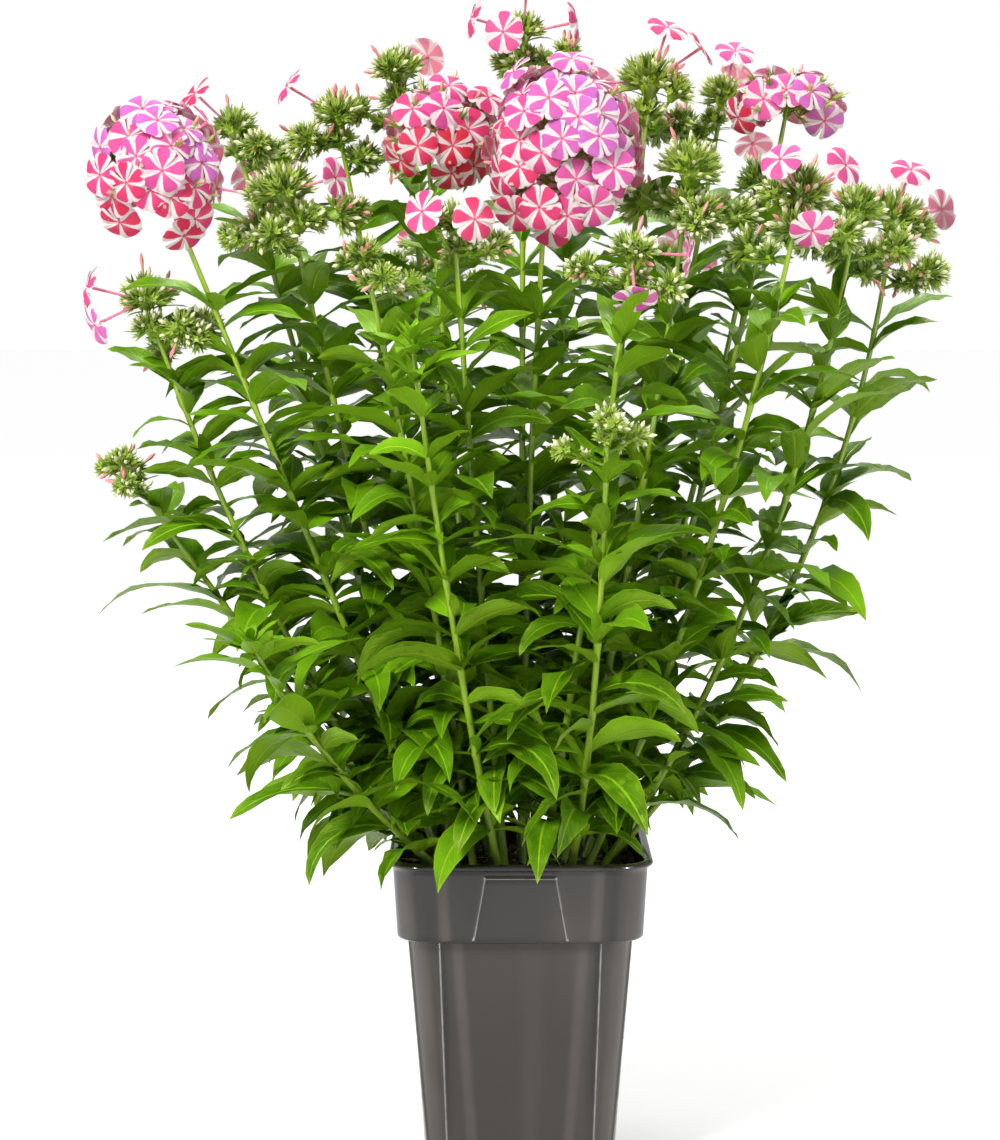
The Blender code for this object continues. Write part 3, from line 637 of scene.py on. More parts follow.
def soilHeight(x, y, share):
    # The soil's surface: a low mound with lumps, level at the wall.
    lumps = math.sin(x * 160) * math.cos(y * 190) + 0.6 * math.sin(x * 330 + y * 270)
    return (soil["level"] - soil["mound"] * share ** 2
            + soil["crumb"] * lumps * (1 - share ** 4) - 1.0 * mm)


def soilShape():
    # The soil as a filling of the pot, clear of its walls and floor.
    gap, steps = soil["gap"], pot["cornerSteps"]
    step = collarFoot + pot["wall"]
    edge = soil["level"] - soil["mound"]
    radius = pot["cornerRadius"] - pot["wall"] - gap
    rings = []
    for z in (pot["floor"] + gap, step + gap, step + 2.2 * gap, edge):
        wide = innerWidth(z if z != step + gap else step - gap) - 2 * gap
        rings.append(roundedSquare(wide, radius, z, steps))
    for share in (0.74, 0.40):
        ring = []
        for p in rings[3]:
            x, y = p.x * share, p.y * share
            ring.append(Vector((x, y, soilHeight(x, y, share))))
        rings.append(ring)
    return loftRings(rings)


# Meshes of the fine plant

plainTone = (0.5, 0.5, 0)       # the tone of points with nothing to mark



class Heap:  # gathers points, faces, uvs and tones, and makes one mesh of them
    def __init__(self):
        self.points, self.faces, self.uvs, self.tones, self.kinds = [], [], [], [], []

    def add(self, points, faces, uvs, tones, kind):
        first = len(self.points)
        self.points += [tuple(p) for p in points]
        self.faces += [tuple(first + i for i in face) for face in faces]
        self.uvs += uvs
        self.tones += tones
        self.kinds += [kind] * len(faces)

    def build(self, name, finishes, sharpAngle=48):
        mesh = bpy.data.meshes.new(name)
        mesh.from_pydata(self.points, [], self.faces)
        layer = mesh.uv_layers.new(name="UVMap")
        corners = [0] * len(mesh.loops)
        mesh.loops.foreach_get("vertex_index", corners)
        layer.data.foreach_set("uv", [c for i in corners for c in self.uvs[i]])
        tone = mesh.attributes.new("tone", "FLOAT_VECTOR", "POINT")
        tone.data.foreach_set("vector", [c for t in self.tones for c in t])
        for finish in finishes.values():
            mesh.materials.append(finish)
        slots = {kind: i for i, kind in enumerate(finishes)}
        mesh.polygons.foreach_set("material_index", [slots[kind] for kind in self.kinds])
        mesh.shade_smooth()
        mesh.set_sharp_from_angle(angle=sharpAngle * deg)
        obj = bpy.data.objects.new(name, mesh)
        bpy.context.scene.collection.objects.link(obj)
        return obj


def addRings(heap, rings, ringUvs, tones, kind, tip=None):
    # skins a stack of like rings, with a flat base and a point or a flat end
    points, faces = loftRings(rings)
    uvs = [uv for row in ringUvs for uv in row]
    if tip:
        count, last = len(rings[0]), len(points)
        faces[-1:] = [(last - count + k, last - count + (k + 1) % count, last)
                      for k in range(count)]
        points.append(tip[0])
        uvs.append(tip[1])
        tones = tones + [tones[-1]]
    heap.add(points, faces, uvs, tones, kind)


def addTube(heap, line, sides, kind, tone=0.5, pointed=False):
    shares = [i / (len(line) - 1) for i in range(len(line))]
    tip = None
    if pointed:
        along = (line[-1][0] - line[-2][0]).normalized()
        tip = (line[-1][0] + along * line[-1][1] * 1.6, (0.5, 1))
    addRings(heap, ringsAlong(line, sides), [[(k / sides, share) for k in range(sides)]
                                             for share in shares],
             [(tone, share, 0) for share in shares for _ in range(sides)], kind, tip)


# The across positions of a blade's ring, from one edge over the top and back beneath.
bladeRing = [(-1, 0), (-0.5, 1), (0, 1), (0.5, 1), (1, 0), (0.5, -1), (0, -1), (-0.5, -1)]
bladeAcross = (-1, -0.5, 0, 0.5, 1)


def addBlade(heap, stations, tip, thickness, tone, kind):
    # a thin closed blade; a station is (middle, side, up, half width, heights at -1..1, share)
    rings, uvs, tones = [], [], []
    for middle, side, up, half, heights, share in stations:
        ring = []
        for across, face in bladeRing:
            high = heights[round((across + 1) * 2)]
            body = face * thickness / 2 * (1 - 0.6 * abs(across))
            ring.append(middle + side * half * across + up * (high + body))
            tones.append((tone[0], tone[1], 0 if face > 0 else 1 if face < 0 else 0.4))
        rings.append(ring)
        uvs.append([((across + 1) / 2, share) for across, _ in bladeRing])
    addRings(heap, rings, uvs, tones, kind, (tip, (0.5, 1)))


# The leaves

leafLook = {
    "shares": (0, 0.05, 0.13, 0.23, 0.34, 0.46, 0.58, 0.70, 0.81, 0.91),
    "fewShares": (0, 0.12, 0.32, 0.56, 0.80),
    "thickness": 0.42 * mm,
    "petiole": 0.95 * mm,       # half the width of the short stalk
    "fold": 20 * deg,           # how far the halves rise from the midrib
    "groove": 0.35 * mm,        # how deep the midrib lies
    "wave": 1.3 * mm,           # ripples along the edge
    "curl": (-0.14, 0.05),      # how far a tip bends away, in leaf lengths
    "sway": (-0.07, 0.07),
    "midGap": (0.62, 0.98),     # sizes of the leaves between the main pairs
    "shootLength": (18 * mm, 46 * mm),
    "shootShare": 0.85,
    "abovePot": 6 * mm,         # a finer leaf's tip is this far over the pot
    "besidePot": 82 * mm,       # or this far out beside it
    "bushy": ("low_left", "low_tip", "left", "side_left", "left_middle", "front_left"),
    "skirt": {                  # long hanging leaves on a stem's outer side: count and heading
        "low_left": (7, 178), "low_tip": (8, 205), "left": (3, 195), "side_left": (5, 172),
        "right_outer": (3, 5), "right_low": (2, -15)},
    "darkGreen": (0.026, 0.095, 0.001, 1),
    "midGreen": (0.075, 0.230, 0.002, 1),
    "brightGreen": (0.220, 0.500, 0.008, 1),
    "palerBeneath": (0.225, 0.365, 0.018, 1),
    # the pale green of the veins, also laid as a painted highlight along the leaf's edge
    "veinAndRimHighlight": (0.330, 0.560, 0.018, 1),
}


def addLeaf(heap, leaf, bright, shape, few=False, kind="leaf"):
    shares = leafLook["fewShares"] if few else leafLook["shares"]
    fold = leafLook["fold"] * shape.uniform(0.2, 1.4)
    phase, count = shape.uniform(0, 6), shape.uniform(1.6, 3.4)
    curl, sway = shape.uniform(*leafLook["curl"]), shape.uniform(*leafLook["sway"])
    scale = leaf["length"] / growth["leafLength"]
    line = [(middle + (up * curl * share ** 3 + side * sway * share ** 2) * leaf["length"], side, up)
            for (middle, side, up), share in zip(leafLine(leaf, shares + (1.0,)), shares + (1.0,))]
    stations = []
    for (middle, side, up), share in zip(line, shares):
        half = max(leafLook["petiole"] * min(1, scale + 0.3), leafHalfWidth(leaf, share))
        heights = []
        for across in bladeAcross:
            rise = abs(across) * half * math.tan(fold) * (1 - 0.55 * share)
            ripple = math.sin(share * count * 6.28 + phase + across * 1.3)
            rise += leafLook["wave"] * scale * ripple * abs(across) * min(1, share * 5)
            rise -= leafLook["groove"] * (across == 0) * scale
            heights.append(rise)
        stations.append((middle, side, up, half, heights, share))
    addBlade(heap, stations, line[-1][0], leafLook["thickness"] * min(1, scale + 0.35),
             (leaf["tone"], bright), kind)


def extraLeaves(stem, leaves, draw, low, high):
    # smaller leaves: pairs between the main pairs, shoots beside leaves, and hanging skirts
    found = []
    levels = sorted({round(leaf["root"].z, 5) for leaf in leaves})
    parts = (0.25, 0.50, 0.75) if stem["name"] in leafLook["bushy"] else (0.34, 0.68)
    for a, b, part in [(a, b, part) for a, b in zip(levels, levels[1:]) for part in parts]:
        t = heightShare(stem, a + (b - a) * (part + draw.uniform(-0.08, 0.08)))
        turn = draw.uniform(0, 180)
        size = draw.uniform(*leafLook["midGap"])
        for side in (0, 180):
            heading = turn + side + draw.uniform(-15, 15)
            forward = max(0, -math.sin(heading * deg))    # those towards the front hang lower
            found.append(leafAt(stemPoint(stem, t), heading,
                                24 + 30 * t - 14 * forward + draw.uniform(-12, 12),
                                78 - 34 * t + 16 * forward + draw.uniform(-26, 26),
                                draw.uniform(-30, 30), draw.uniform(-35, 35),
                                draw.uniform(-45, 45)))
            found[-1].update(tone=draw.random(),
                             length=growth["leafLength"] * size * (1 - 0.25 * t))
    for leaf in leaves:
        if draw.random() > leafLook["shootShare"]:
            continue
        for side in (-1, 1):
            found.append(leafAt(leaf["root"].copy(), side * draw.uniform(18, 62),
                                draw.uniform(30, 66), draw.uniform(10, 60),
                                draw.uniform(-20, 20), draw.uniform(-30, 30),
                                draw.uniform(-30, 30)))
            found[-1].update(tone=draw.random(), length=draw.uniform(*leafLook["shootLength"]),
                             heading=leaf["heading"] + found[-1]["heading"])
    count, heading = leafLook["skirt"].get(stem["name"], (0, 0))
    for i in range(count):
        t = 0.16 + 0.55 * (i + draw.uniform(0, 0.6)) / count
        found.append(leafAt(stemPoint(stem, t), heading + draw.uniform(-38, 38),
                            draw.uniform(2, 20), draw.uniform(30, 75), draw.uniform(-25, 25),
                            draw.uniform(-45, 45), draw.uniform(-35, 35)))
        found[-1].update(tone=draw.random(),
                         length=growth["leafLength"] * draw.uniform(0.75, 1.0))
    kept = []
    for leaf in found:
        leaf["width"] = leaf["length"] * draw.uniform(0.27, 0.33)
        end = leafLine(leaf, (0.0, 0.5, 1.0))[-1][0]
        inside = all(low[k] + 2 * mm < end[k] < high[k] - 2 * mm for k in range(3))
        beside = max(abs(end.x), end.y) > leafLook["besidePot"]
        if inside and (end.z > pot["height"] + leafLook["abovePot"] or beside):
            kept.append(leaf)    # inside the plain solids' box, and clear of the pot
    return kept


def heightShare(stem, z):
    # t on the stem at a height
    low, high = 0.0, 1.0
    for _ in range(24):
        middle = (low + high) / 2
        if stemPoint(stem, middle).z < z:
            low = middle
        else:
            high = middle
    return low


def addRosette(heap, stem, draw):
    # the bright young leaves that close a leafy tip
    for i in range(11):
        share = i / 10
        length = (34 - 22 * share) * mm * draw.uniform(0.85, 1.1)
        root = stemPoint(stem, 1) - stemAlong(stem, 1) * (1 - share) * 9 * mm
        leaf = leafAt(root, i * 137.5 + draw.uniform(-10, 10),
                      18 + 55 * share + draw.uniform(-8, 8), draw.uniform(5, 35),
                      draw.uniform(-15, 15), draw.uniform(-20, 20), draw.uniform(-20, 20))
        leaf.update(length=length, width=length * 0.34, tone=draw.uniform(0.7, 1))
        addLeaf(heap, leaf, 1.0, draw, length < 22 * mm)


# The stalks

stalkLook = {
    "sides": 8,
    "rings": 26,
    "knot": 0.26,               # how much thicker a stalk is where leaves leave it
    "knotReach": 3.5 * mm,
    "slim": 0.80,               # against the plain stalk
    "lowGreen": (0.200, 0.325, 0.008, 1),
    "highGreen": (0.300, 0.460, 0.012, 1),
    "blush": (0.230, 0.100, 0.060, 1),
}


def addStalk(heap, stem, leaves):
    knots = sorted({round(heightShare(stem, leaf["root"].z), 4) for leaf in leaves})
    shares = {i / stalkLook["rings"] for i in range(stalkLook["rings"] + 1)}
    near = stalkLook["knotReach"] / (stemPoint(stem, 1) - stemPoint(stem, 0)).length
    for knot in knots:
        shares |= {knot - near, knot, knot + near}
    foot, along = stemPoint(stem, 0), stemAlong(stem, 0)
    line = [(foot - along * growth["rootDepth"], stemRadius(0) * 0.9),
            (foot, stemRadius(0))]
    for share in sorted(s for s in shares if 0.02 < s <= 1):
        swell = sum(math.exp(-((share - knot) / (near * 0.8)) ** 2) for knot in knots)
        line.append((stemPoint(stem, share), stemRadius(share) * (1 + stalkLook["knot"] * swell)))
    line[-1] = (line[-1][0], stemRadius(1) * 0.8)
    line = [(point, radius * stalkLook["slim"]) for point, radius in line]
    addTube(heap, line, stalkLook["sides"], "stalk")


# The calyces and buds

budLook = {
    "perCluster": 36,           # on a cluster of full size
    "calyxLength": 10.5 * mm,
    "calyxRadius": 1.60 * mm,
    "flare": 0.85,              # how far the teeth spread, in radii
    "openShare": 0.46,          # how many calyces show a bud
    "pinkShare": 0.05,
    "budRadius": 1.35 * mm,
    "budKinds": {               # the lengths, in calyx lengths, and the tones
        "pink": ((1.0, 1.6), (0.6, 1)), "cream": ((0.6, 1.0), (0, 0.4))},
    "bracts": 4,
    "calyxDark": (0.070, 0.150, 0.006, 1),
    "calyxLight": (0.420, 0.560, 0.080, 1),
    "cream": (0.800, 0.820, 0.520, 1),
    "blush": (0.800, 0.290, 0.270, 1),
    "satellites": 2,            # lesser clusters that fill the space around each one
}


def addCalyx(heap, base, way, length, radius, tone):
    # a slim ribbed cup that ends in five sharp teeth, hollow between them
    turned = turnTo(way)
    points, uvs, tones = [base], [(0, 0)], [(tone, 0, 0)]
    for share, wide, half in ((0.24, 1.0, 0), (0.60, 1.18, 0), (1.0, 1.18 + budLook["flare"], 0.5)):
        for k in range(5):
            angle = (k + half) * 72 * deg
            out = turned @ spoke(angle)
            points.append(base + way * length * share + out * radius * wide)
            uvs.append(((k + half) / 5, share))
            tones.append((tone, share, 0))
    points.append(base + way * length * 0.50)
    faces = []
    for k in range(5):
        n = (k + 1) % 5
        faces += [(0, 1 + n, 1 + k), (1 + k, 1 + n, 6 + n, 6 + k), (6 + k, 6 + n, 11 + k),
                  (6 + k, 11 + k, 16), (11 + k, 6 + n, 16)]
    heap.add(points, faces, uvs + [(0.5, 0.5)], tones + [(tone, 0.5, 0)], "calyx")


def addBud(heap, base, way, length, radius, tone):
    # a closed bud: a slender tube that swells to a pointed tip
    line = [(base + way * length * share, radius * wide)
            for share, wide in ((0, 0.5), (0.48, 0.62), (0.72, 1.0), (0.93, 0.55))]
    addTube(heap, line, 5, "bud", tone, True)


def addCluster(heap, cluster, draw, young=False):
    centre, radius, along = cluster["centre"], cluster["radius"], cluster["along"]
    turned = turnTo(along)
    size = radius / growth["clusterRadius"]
    if (centre - cluster["from"]).length > radius * 1.2:
        middle = cluster["from"].lerp(centre, 0.5) - Vector((0, 0, radius * 0.08))
        addTube(heap, [(cluster["from"], 1.1 * mm), (middle, 0.95 * mm),
                       (centre, 0.8 * mm)], 6, "stalk")
    addTube(heap, [(centre - along * radius * 0.45, radius * 0.12),
                   (centre - along * radius * 0.1, radius * 0.30),
                   (centre + along * radius * 0.3, radius * 0.2)], 7, "stalk")
    count = round(budLook["perCluster"] * size ** 1.5) + 6
    for way in spread(count, -0.38):
        out = (turned @ way + stray(draw, 0.16)).normalized()
        lean = (out + along * 0.25 + Vector((0, 0, 0.12))).normalized()
        length = budLook["calyxLength"] * (0.55 + 0.45 * size) * draw.uniform(0.8, 1.1)
        base = centre + out * (radius - length) * draw.uniform(0.45, 1.0) * 0.96
        start = centre - along * radius * draw.uniform(0.05, 0.35)
        addTube(heap, [(start, 0.45 * mm), (base + lean * mm, 0.42 * mm)], 3, "stalk")
        tone = draw.uniform(0.6 if young else 0, 1)
        addCalyx(heap, base, lean, length, budLook["calyxRadius"] * (0.7 + 0.3 * size), tone)
        pick = draw.uniform(0.1 if young else 0, 1)
        if pick < budLook["openShare"]:
            kind = "pink" if pick < budLook["pinkShare"] else "cream"
            reach, hues = budLook["budKinds"][kind]
            addBud(heap, base + lean * length * 0.4, lean, length * draw.uniform(*reach),
                   budLook["budRadius"], draw.uniform(*hues))
    for i in range(budLook["bracts"]):
        length = draw.uniform(11, 21) * mm * (0.6 + 0.4 * size)
        turn = i * 90 + draw.uniform(-25, 25)
        bract = leafAt(centre - along * radius * draw.uniform(0.3, 0.6), turn,
                       draw.uniform(5, 40), draw.uniform(10, 40), 0, draw.uniform(-20, 20), 0)
        bract.update(length=length, width=length * 0.2, tone=draw.random())
        addLeaf(heap, bract, 0.5, draw, True)


def satellitesOf(cluster, draw):
    # lesser clusters beside a cluster: the first on its branch, the others round its middle
    centre, start, radius = cluster["centre"], cluster["from"], cluster["radius"]
    found = []
    for i in range(budLook["satellites"]):
        turn = draw.uniform(0, 360) * deg
        if i:
            middle = centre + aim(turn, draw.uniform(-35, 20) * deg) * radius * 0.72
        else:
            middle = start.lerp(centre, 0.42) + aim(turn, 0) * draw.uniform(1, 6) * mm
        out = (middle - start + Vector((0, 0, 6 * mm))).normalized()
        found.append({"centre": middle, "from": start.lerp(middle, 0.3), "along": out,
                      "radius": radius * draw.uniform(0.58, 0.74)})
    return found


# The open florets

floretLook = {
    "rows": ((1.1, 1.0), (3.2, 2.4), (5.8, 4.4), (8.2, 6.1), (10.2, 6.75),
             (11.5, 5.9), (12.3, 3.7)),
    "tip": 12.55,               # rows and tip are millimetres from the eye of the floret
    "thickness": 0.36 * mm,
    "windmill": 8 * deg,        # each petal lies over the next
    "tube": 1.05 * mm,
    "calyx": (10 * mm, 1.4 * mm),   # length and radius
    # Along a petal, the share of its half width that stays coloured beside the white.
    "wedge": ((0.0, 0.48), (0.30, 0.50), (0.70, 0.58), (0.90, 0.64), (1.0, 0.80)),
    "red": (0.740, 0.003, 0.030, 1),
    "rose": (0.760, 0.010, 0.105, 1),
    "pink": (0.760, 0.036, 0.230, 1),
    "lilac": (0.620, 0.130, 0.570, 1),
    "white": (0.930, 0.850, 0.860, 1),
    "behind": (0.800, 0.190, 0.240, 1),
    "throat": (0.420, 0.020, 0.110, 1),
}


def addFloret(heap, start, centre, facing, roll, tone, draw, size=1.0):
    turned = turnTo(facing) @ Quaternion((0, 0, 1), roll)
    reflex = draw.uniform(0.2, 2.6) * mm
    for petal in range(5):
        angle = petal * 72 * deg + draw.uniform(-4, 4) * deg
        radial = turned @ spoke(angle)
        side = radial.cross(facing)
        tilt = floretLook["windmill"] * draw.uniform(0.6, 1.5)
        side = (side * math.cos(tilt) + facing * math.sin(tilt)).normalized()
        up = side.cross(radial)
        lift = draw.uniform(-0.5, 0.9) * mm
        stations = []
        for reach, half in floretLook["rows"]:
            share = reach / floretLook["tip"]
            bow = math.sin(share * 3.0) * 1.1 * mm - (reflex - lift) * share ** 2
            middle = centre + (radial * reach * mm + facing * bow) * size
            heights = [-0.55 * mm * share * across ** 2 + 0.12 * mm * math.sin(across * 5)
                       for across in bladeAcross]
            stations.append((middle, side, up, half * mm * size, heights, share))
        end = centre + (radial * floretLook["tip"] * mm - facing * (reflex - lift - 0.2 * mm)) * size
        addBlade(heap, stations, end, floretLook["thickness"], (tone, draw.random()), "petal")
    wide = floretLook["tube"] * size
    line = [(start, wide * 0.55), (start.lerp(centre, 0.5), wide * 0.75),
            (centre - facing * 1.6 * mm, wide * 0.95), (centre + facing * 0.25 * mm, wide * 1.35)]
    addTube(heap, line, 7, "tube", tone)
    addTube(heap, [(centre + facing * 0.1 * mm, wide * 0.75),
                   (centre + facing * 0.42 * mm, wide * 0.62)], 7, "throat")


# The dense heads

bloomLook = {
    "more": 1.9,                # open florets for each one in the plain solid
    "spread": -0.55,
    "branch": 0.75 * mm,
    "buds": 26,
    "tubeLength": 21,           # in millimetres
    "bud": (9 * mm, 1.2 * mm),  # length and radius
    "apart": 15.5 * mm,
    "apartBehind": 9 * mm,
    "fit": {                    # how the florets sit in the plain solid: shift in mm, and scale
        "bloom_left": ((0, 0, 1), (0.86, 0.9, 0.90)),
        "bloom_main": ((8, 0, -3), (0.78, 0.9, 0.93)),
        "bloom_inner": ((8, 0, -3), (0.95, 0.95, 0.95)),
        "bloom_right": ((0, 0, 2), (0.95, 0.9, 0.72)),
    },
    "front": {                  # across and up from the middle in mm, and rose 0 to lilac 1
        "bloom_left": (
            (-7, 36, 0.95), (3, 27, 0.9), (19, 26, 0.95), (-15, 20, 0.55), (-32, 13, 0.9),
            (-10, 8, 0.7), (11, 13, 0.65), (27, 16, 0.95), (29, 4, 0.9), (-30, -3, 0.35),
            (-15, -8, 0.2), (6, -1, 0.6), (25, -11, 0.3), (-27, -17, 0.1), (-1, -13, 0.3),
            (11, -17, 0.15), (22, -27, 0.15), (-21, -30, 0.1), (16, -38, 0.1)),
        "bloom_main": (
            (5, 40, 0.95), (0, 24, 0.75), (15, 31, 0.97), (-13, 17, 0.6), (16, 15, 0.95),
            (7, 3, 0.8), (-19, 3, 0.35), (-5, -5, 0.4), (-18, -13, 0.2), (-29, -18, 0.3),
            (16, -22, 0.65), (36, -13, 0.7), (27, 4, 0.9), (-5, -34, 0.3), (-18, -37, 0.2),
            (10, -38, 0.4), (24, -33, 0.6), (36, -31, 0.6), (0, -50, 0.25), (30, 21, 0.95),
            (-24, 48, 0.8), (45, -6, 0.85)),
        "bloom_inner": (
            (36, 18, 0.35), (27, 0, 0.25), (11, 13, 0.6), (-7, 11, 0.45), (14, 27, 0.5),
            (-4, -10, 0.1), (-18, -20, 0.0), (17, -11, 0.0), (16, -28, 0.0), (30, -23, 0.0)),
        "bloom_right": (
            (-18, 3, 0.6), (-3, 9, 0.7), (14, 8, 0.85), (-32, -8, 0.02), (20, -9, 0.85)),
    },
}


def bloomTone(place, middle, draw):
    # lilac towards the top and the right of a head, deep rose low on its left
    share = 0.42 + 6.5 * (place.z - middle.z) + 3.2 * (place.x - middle.x)
    return min(1, max(0, share + draw.uniform(-0.22, 0.22)))


def makeBloomPiece(name, draw, finishes):
    bloom = blooms[name]
    shift, scale = bloomLook["fit"].get(name, ((0, 0, 0), (0.95, 0.95, 0.95)))
    middle = (Vector(bloom["at"]) + Vector(shift)) * mm
    radii = Vector([bloom["radii"][k] * scale[k] * mm for k in range(3)])
    heap = Heap()
    places = []
    for across, up, tone in bloomLook["front"].get(name, ()):
        out = Vector(((across - shift[0]) * mm / radii.x, 0, (up - shift[2]) * mm / radii.z))
        out.y = -math.sqrt(max(0.06, 1 - out.length_squared))
        out *= draw.uniform(0.87, 1.07)
        places.append((out, Vector((0, -0.45, 0.08)) + stray(draw, 0.4), tone))
    count = round(bloom["florets"] * bloomLook["more"])
    for out in spread(count, bloomLook["spread"]):
        out = (out + stray(draw, 0.12)).normalized()
        out *= draw.uniform(0.80, 1.03)
        apart = min([times([a - b for a, b in zip(out, had)], radii).length
                     for had, _, _ in places] or [1])
        towards = stray(draw, 0.38)
        tone = bloomTone(middle + times(out, radii), middle, draw)
        if apart > bloomLook["apart"] or (out.y > 0.1 and apart > bloomLook["apartBehind"]):
            places.append((out, towards, tone))
    axisFoot = middle - Vector((0, 0, radii.z * 0.75))
    for out, towards, tone in places:
        centre = middle + times(out, radii)
        facing = (Vector([out[k] / radii[k] for k in range(3)]).normalized() + towards).normalized()
        start = centre - facing * bloomLook["tubeLength"] * mm
        fork = axisFoot.lerp(middle, 0.3 + 0.9 * (out.z * 0.5 + 0.5))
        calyxWay = (facing + (start - fork).normalized()).normalized()
        base = start - calyxWay * 5 * mm
        addTube(heap, [(fork, bloomLook["branch"]), (fork.lerp(base, 0.5), 0.6 * mm),
                       (base, 0.5 * mm)], 5, "stalk")
        addCalyx(heap, base, calyxWay, *floretLook["calyx"], draw.random())
        addFloret(heap, start, centre, facing, draw.uniform(0, 72) * deg,
                  tone, draw, draw.uniform(0.94, 1.04))
    for way in spread(bloomLook["buds"], -0.8):
        out = times(way, radii) * draw.uniform(0.60, 0.86)
        base = middle + out
        lean = (out.normalized() + Vector((0, 0, 0.4))).normalized()
        addCalyx(heap, base, lean, *floretLook["calyx"], draw.random())
        addBud(heap, base + lean * 4 * mm, lean, *bloomLook["bud"], draw.random())
    return heap.build(name + "_florets", finishes)


# The pot

potLook = {
    "sideSteps": (10, 4, 22, 4, 10),    # cells along a side, with four across each badge line
    "cornerSteps": (1, 4, 6, 4, 1),     # and round a corner, with four across each body line
    "line": 0.9 * mm,           # half the width of a raised line
    "lineRise": 0.9 * mm,
    "linesTop": 47.5 * mm,      # half widths between the raised lines on each side of the body
    "linesFoot": 42.5 * mm,
    "badgeTop": 20 * mm,        # half widths of the plain outlined trapezoid on the front collar
    "badgeFoot": 27.5 * mm,
    "badgeRise": 0.6 * mm,
    "belly": 0.5 * mm,          # how far the flat sides swell
    "grey": (0.041, 0.0335, 0.0270, 1),
    # painted shade: the dark grey laid over the collar and in the dark reflection bands
    "paintedShadeGrey": (0.0115, 0.0095, 0.0085, 1),
    "band": (0.074, 0.062, 0.054, 1),       # painted highlight: the paler upright bands that stand in for reflections on the gloss
    "edge": (0.340, 0.325, 0.310, 1),       # painted highlight on the tops of the raised lines
    "roughness": 0.12,
}


def smooth(low, high, x):
    share = min(1, max(0, (x - low) / (high - low)))
    return share * share * (3 - 2 * share)


def bump(away, reach):
    # 1 where away is nothing, easing to 0 at the reach
    return smooth(0, 1, 1 - abs(away) / reach)


def spacedOut(marks, cells):
    places = []
    for low, high, count in zip(marks, marks[1:], cells):
        places += [low + (high - low) * i / count for i in range(count)]
    return places


def potRing(width, radius, z, badge=0, badgeRise=0, band=0, lines=0, rise=0, belly=0):
    # A rounded square and the tone of each point, which carries painted reflection bands and the
    # marks for a painted highlight on the raised lines' tops.
    # Badge and lines are the half widths between raised lines, and band is how far the badge's
    # inside stands out.
    half, line = width / 2, potLook["line"]
    flat, marked = half - radius, lines or badge
    badge = badge or flat * 0.6
    middle = math.asin(min(0.6, max(0.2, (lines - flat) / radius)))
    step = 0.6 * line / radius
    row = []
    for along in spacedOut((-flat, -badge - line, -badge + line, badge - line, badge + line, flat),
                           potLook["sideSteps"]):
        swell = belly * (1 - (along / flat) ** 2)
        edge, inside = bump(abs(along) - badge, line), abs(along) <= badge
        mark = max(edge, inside * (0 < band < badgeRise)) * (badgeRise > 0)
        # painted reflection: a pale band just inside each end of a flat side
        paintedReflection = 0.5 + 0.5 * bump(abs(along) - flat + 5 * mm, 6 * mm)
        row.append((along, -half - swell, 0, -1, max(badgeRise * edge, band * inside), 0,
                    (0.5, paintedReflection, mark)))
    low, high = middle - 2 * step, middle + 2 * step
    for turn in spacedOut((0, low, high, math.pi / 2 - high, math.pi / 2 - low, math.pi / 2),
                          potLook["cornerSteps"]):
        angle = turn - math.pi / 2
        away = min(abs(turn - middle), abs(math.pi / 2 - turn - middle)) * radius
        raised = bump(away / 1.2, line) * (rise > 0)
        # painted reflection: a pale band at the middle of a corner and dark bands at its two ends
        paintedReflection = (0.5 + 0.5 * bump(turn - 45 * deg, 26 * deg) - 0.5 * bump(turn - 12 * deg, 14 * deg)
                 - 0.5 * bump(turn - 78 * deg, 14 * deg))
        row.append((flat + radius * math.cos(angle), -flat + radius * math.sin(angle),
                    math.cos(angle), math.sin(angle), 0, rise * raised, (0.5, paintedReflection, raised)))
    ring, marks = [], []
    for side in range(4):
        c, s = math.cos(side * math.pi / 2), math.sin(side * math.pi / 2)
        for x, y, outX, outY, front, out, mark in row:
            out += front * (side == 0)    # only the front carries the badge
            x, y = x + outX * out, y + outY * out
            ring.append(Vector((x * c - y * s, x * s + y * c, z)))
            marks.append(mark if side == 0 or not badgeRise else (0.5, mark[1], 0))
    return ring, marks if marked else [plainTone] * len(ring)


def buildRings(name, rings, tones, finish):
    # one mesh round a stack of rings, for the pot and for the soil
    heap, count, last = Heap(), len(rings[0]), len(rings) - 1
    uvs = [[(k / count, i / last) for k in range(count)] for i in range(last + 1)]
    addRings(heap, rings, uvs, tones, "all")
    return heap.build(name, {"all": finish}, 60)


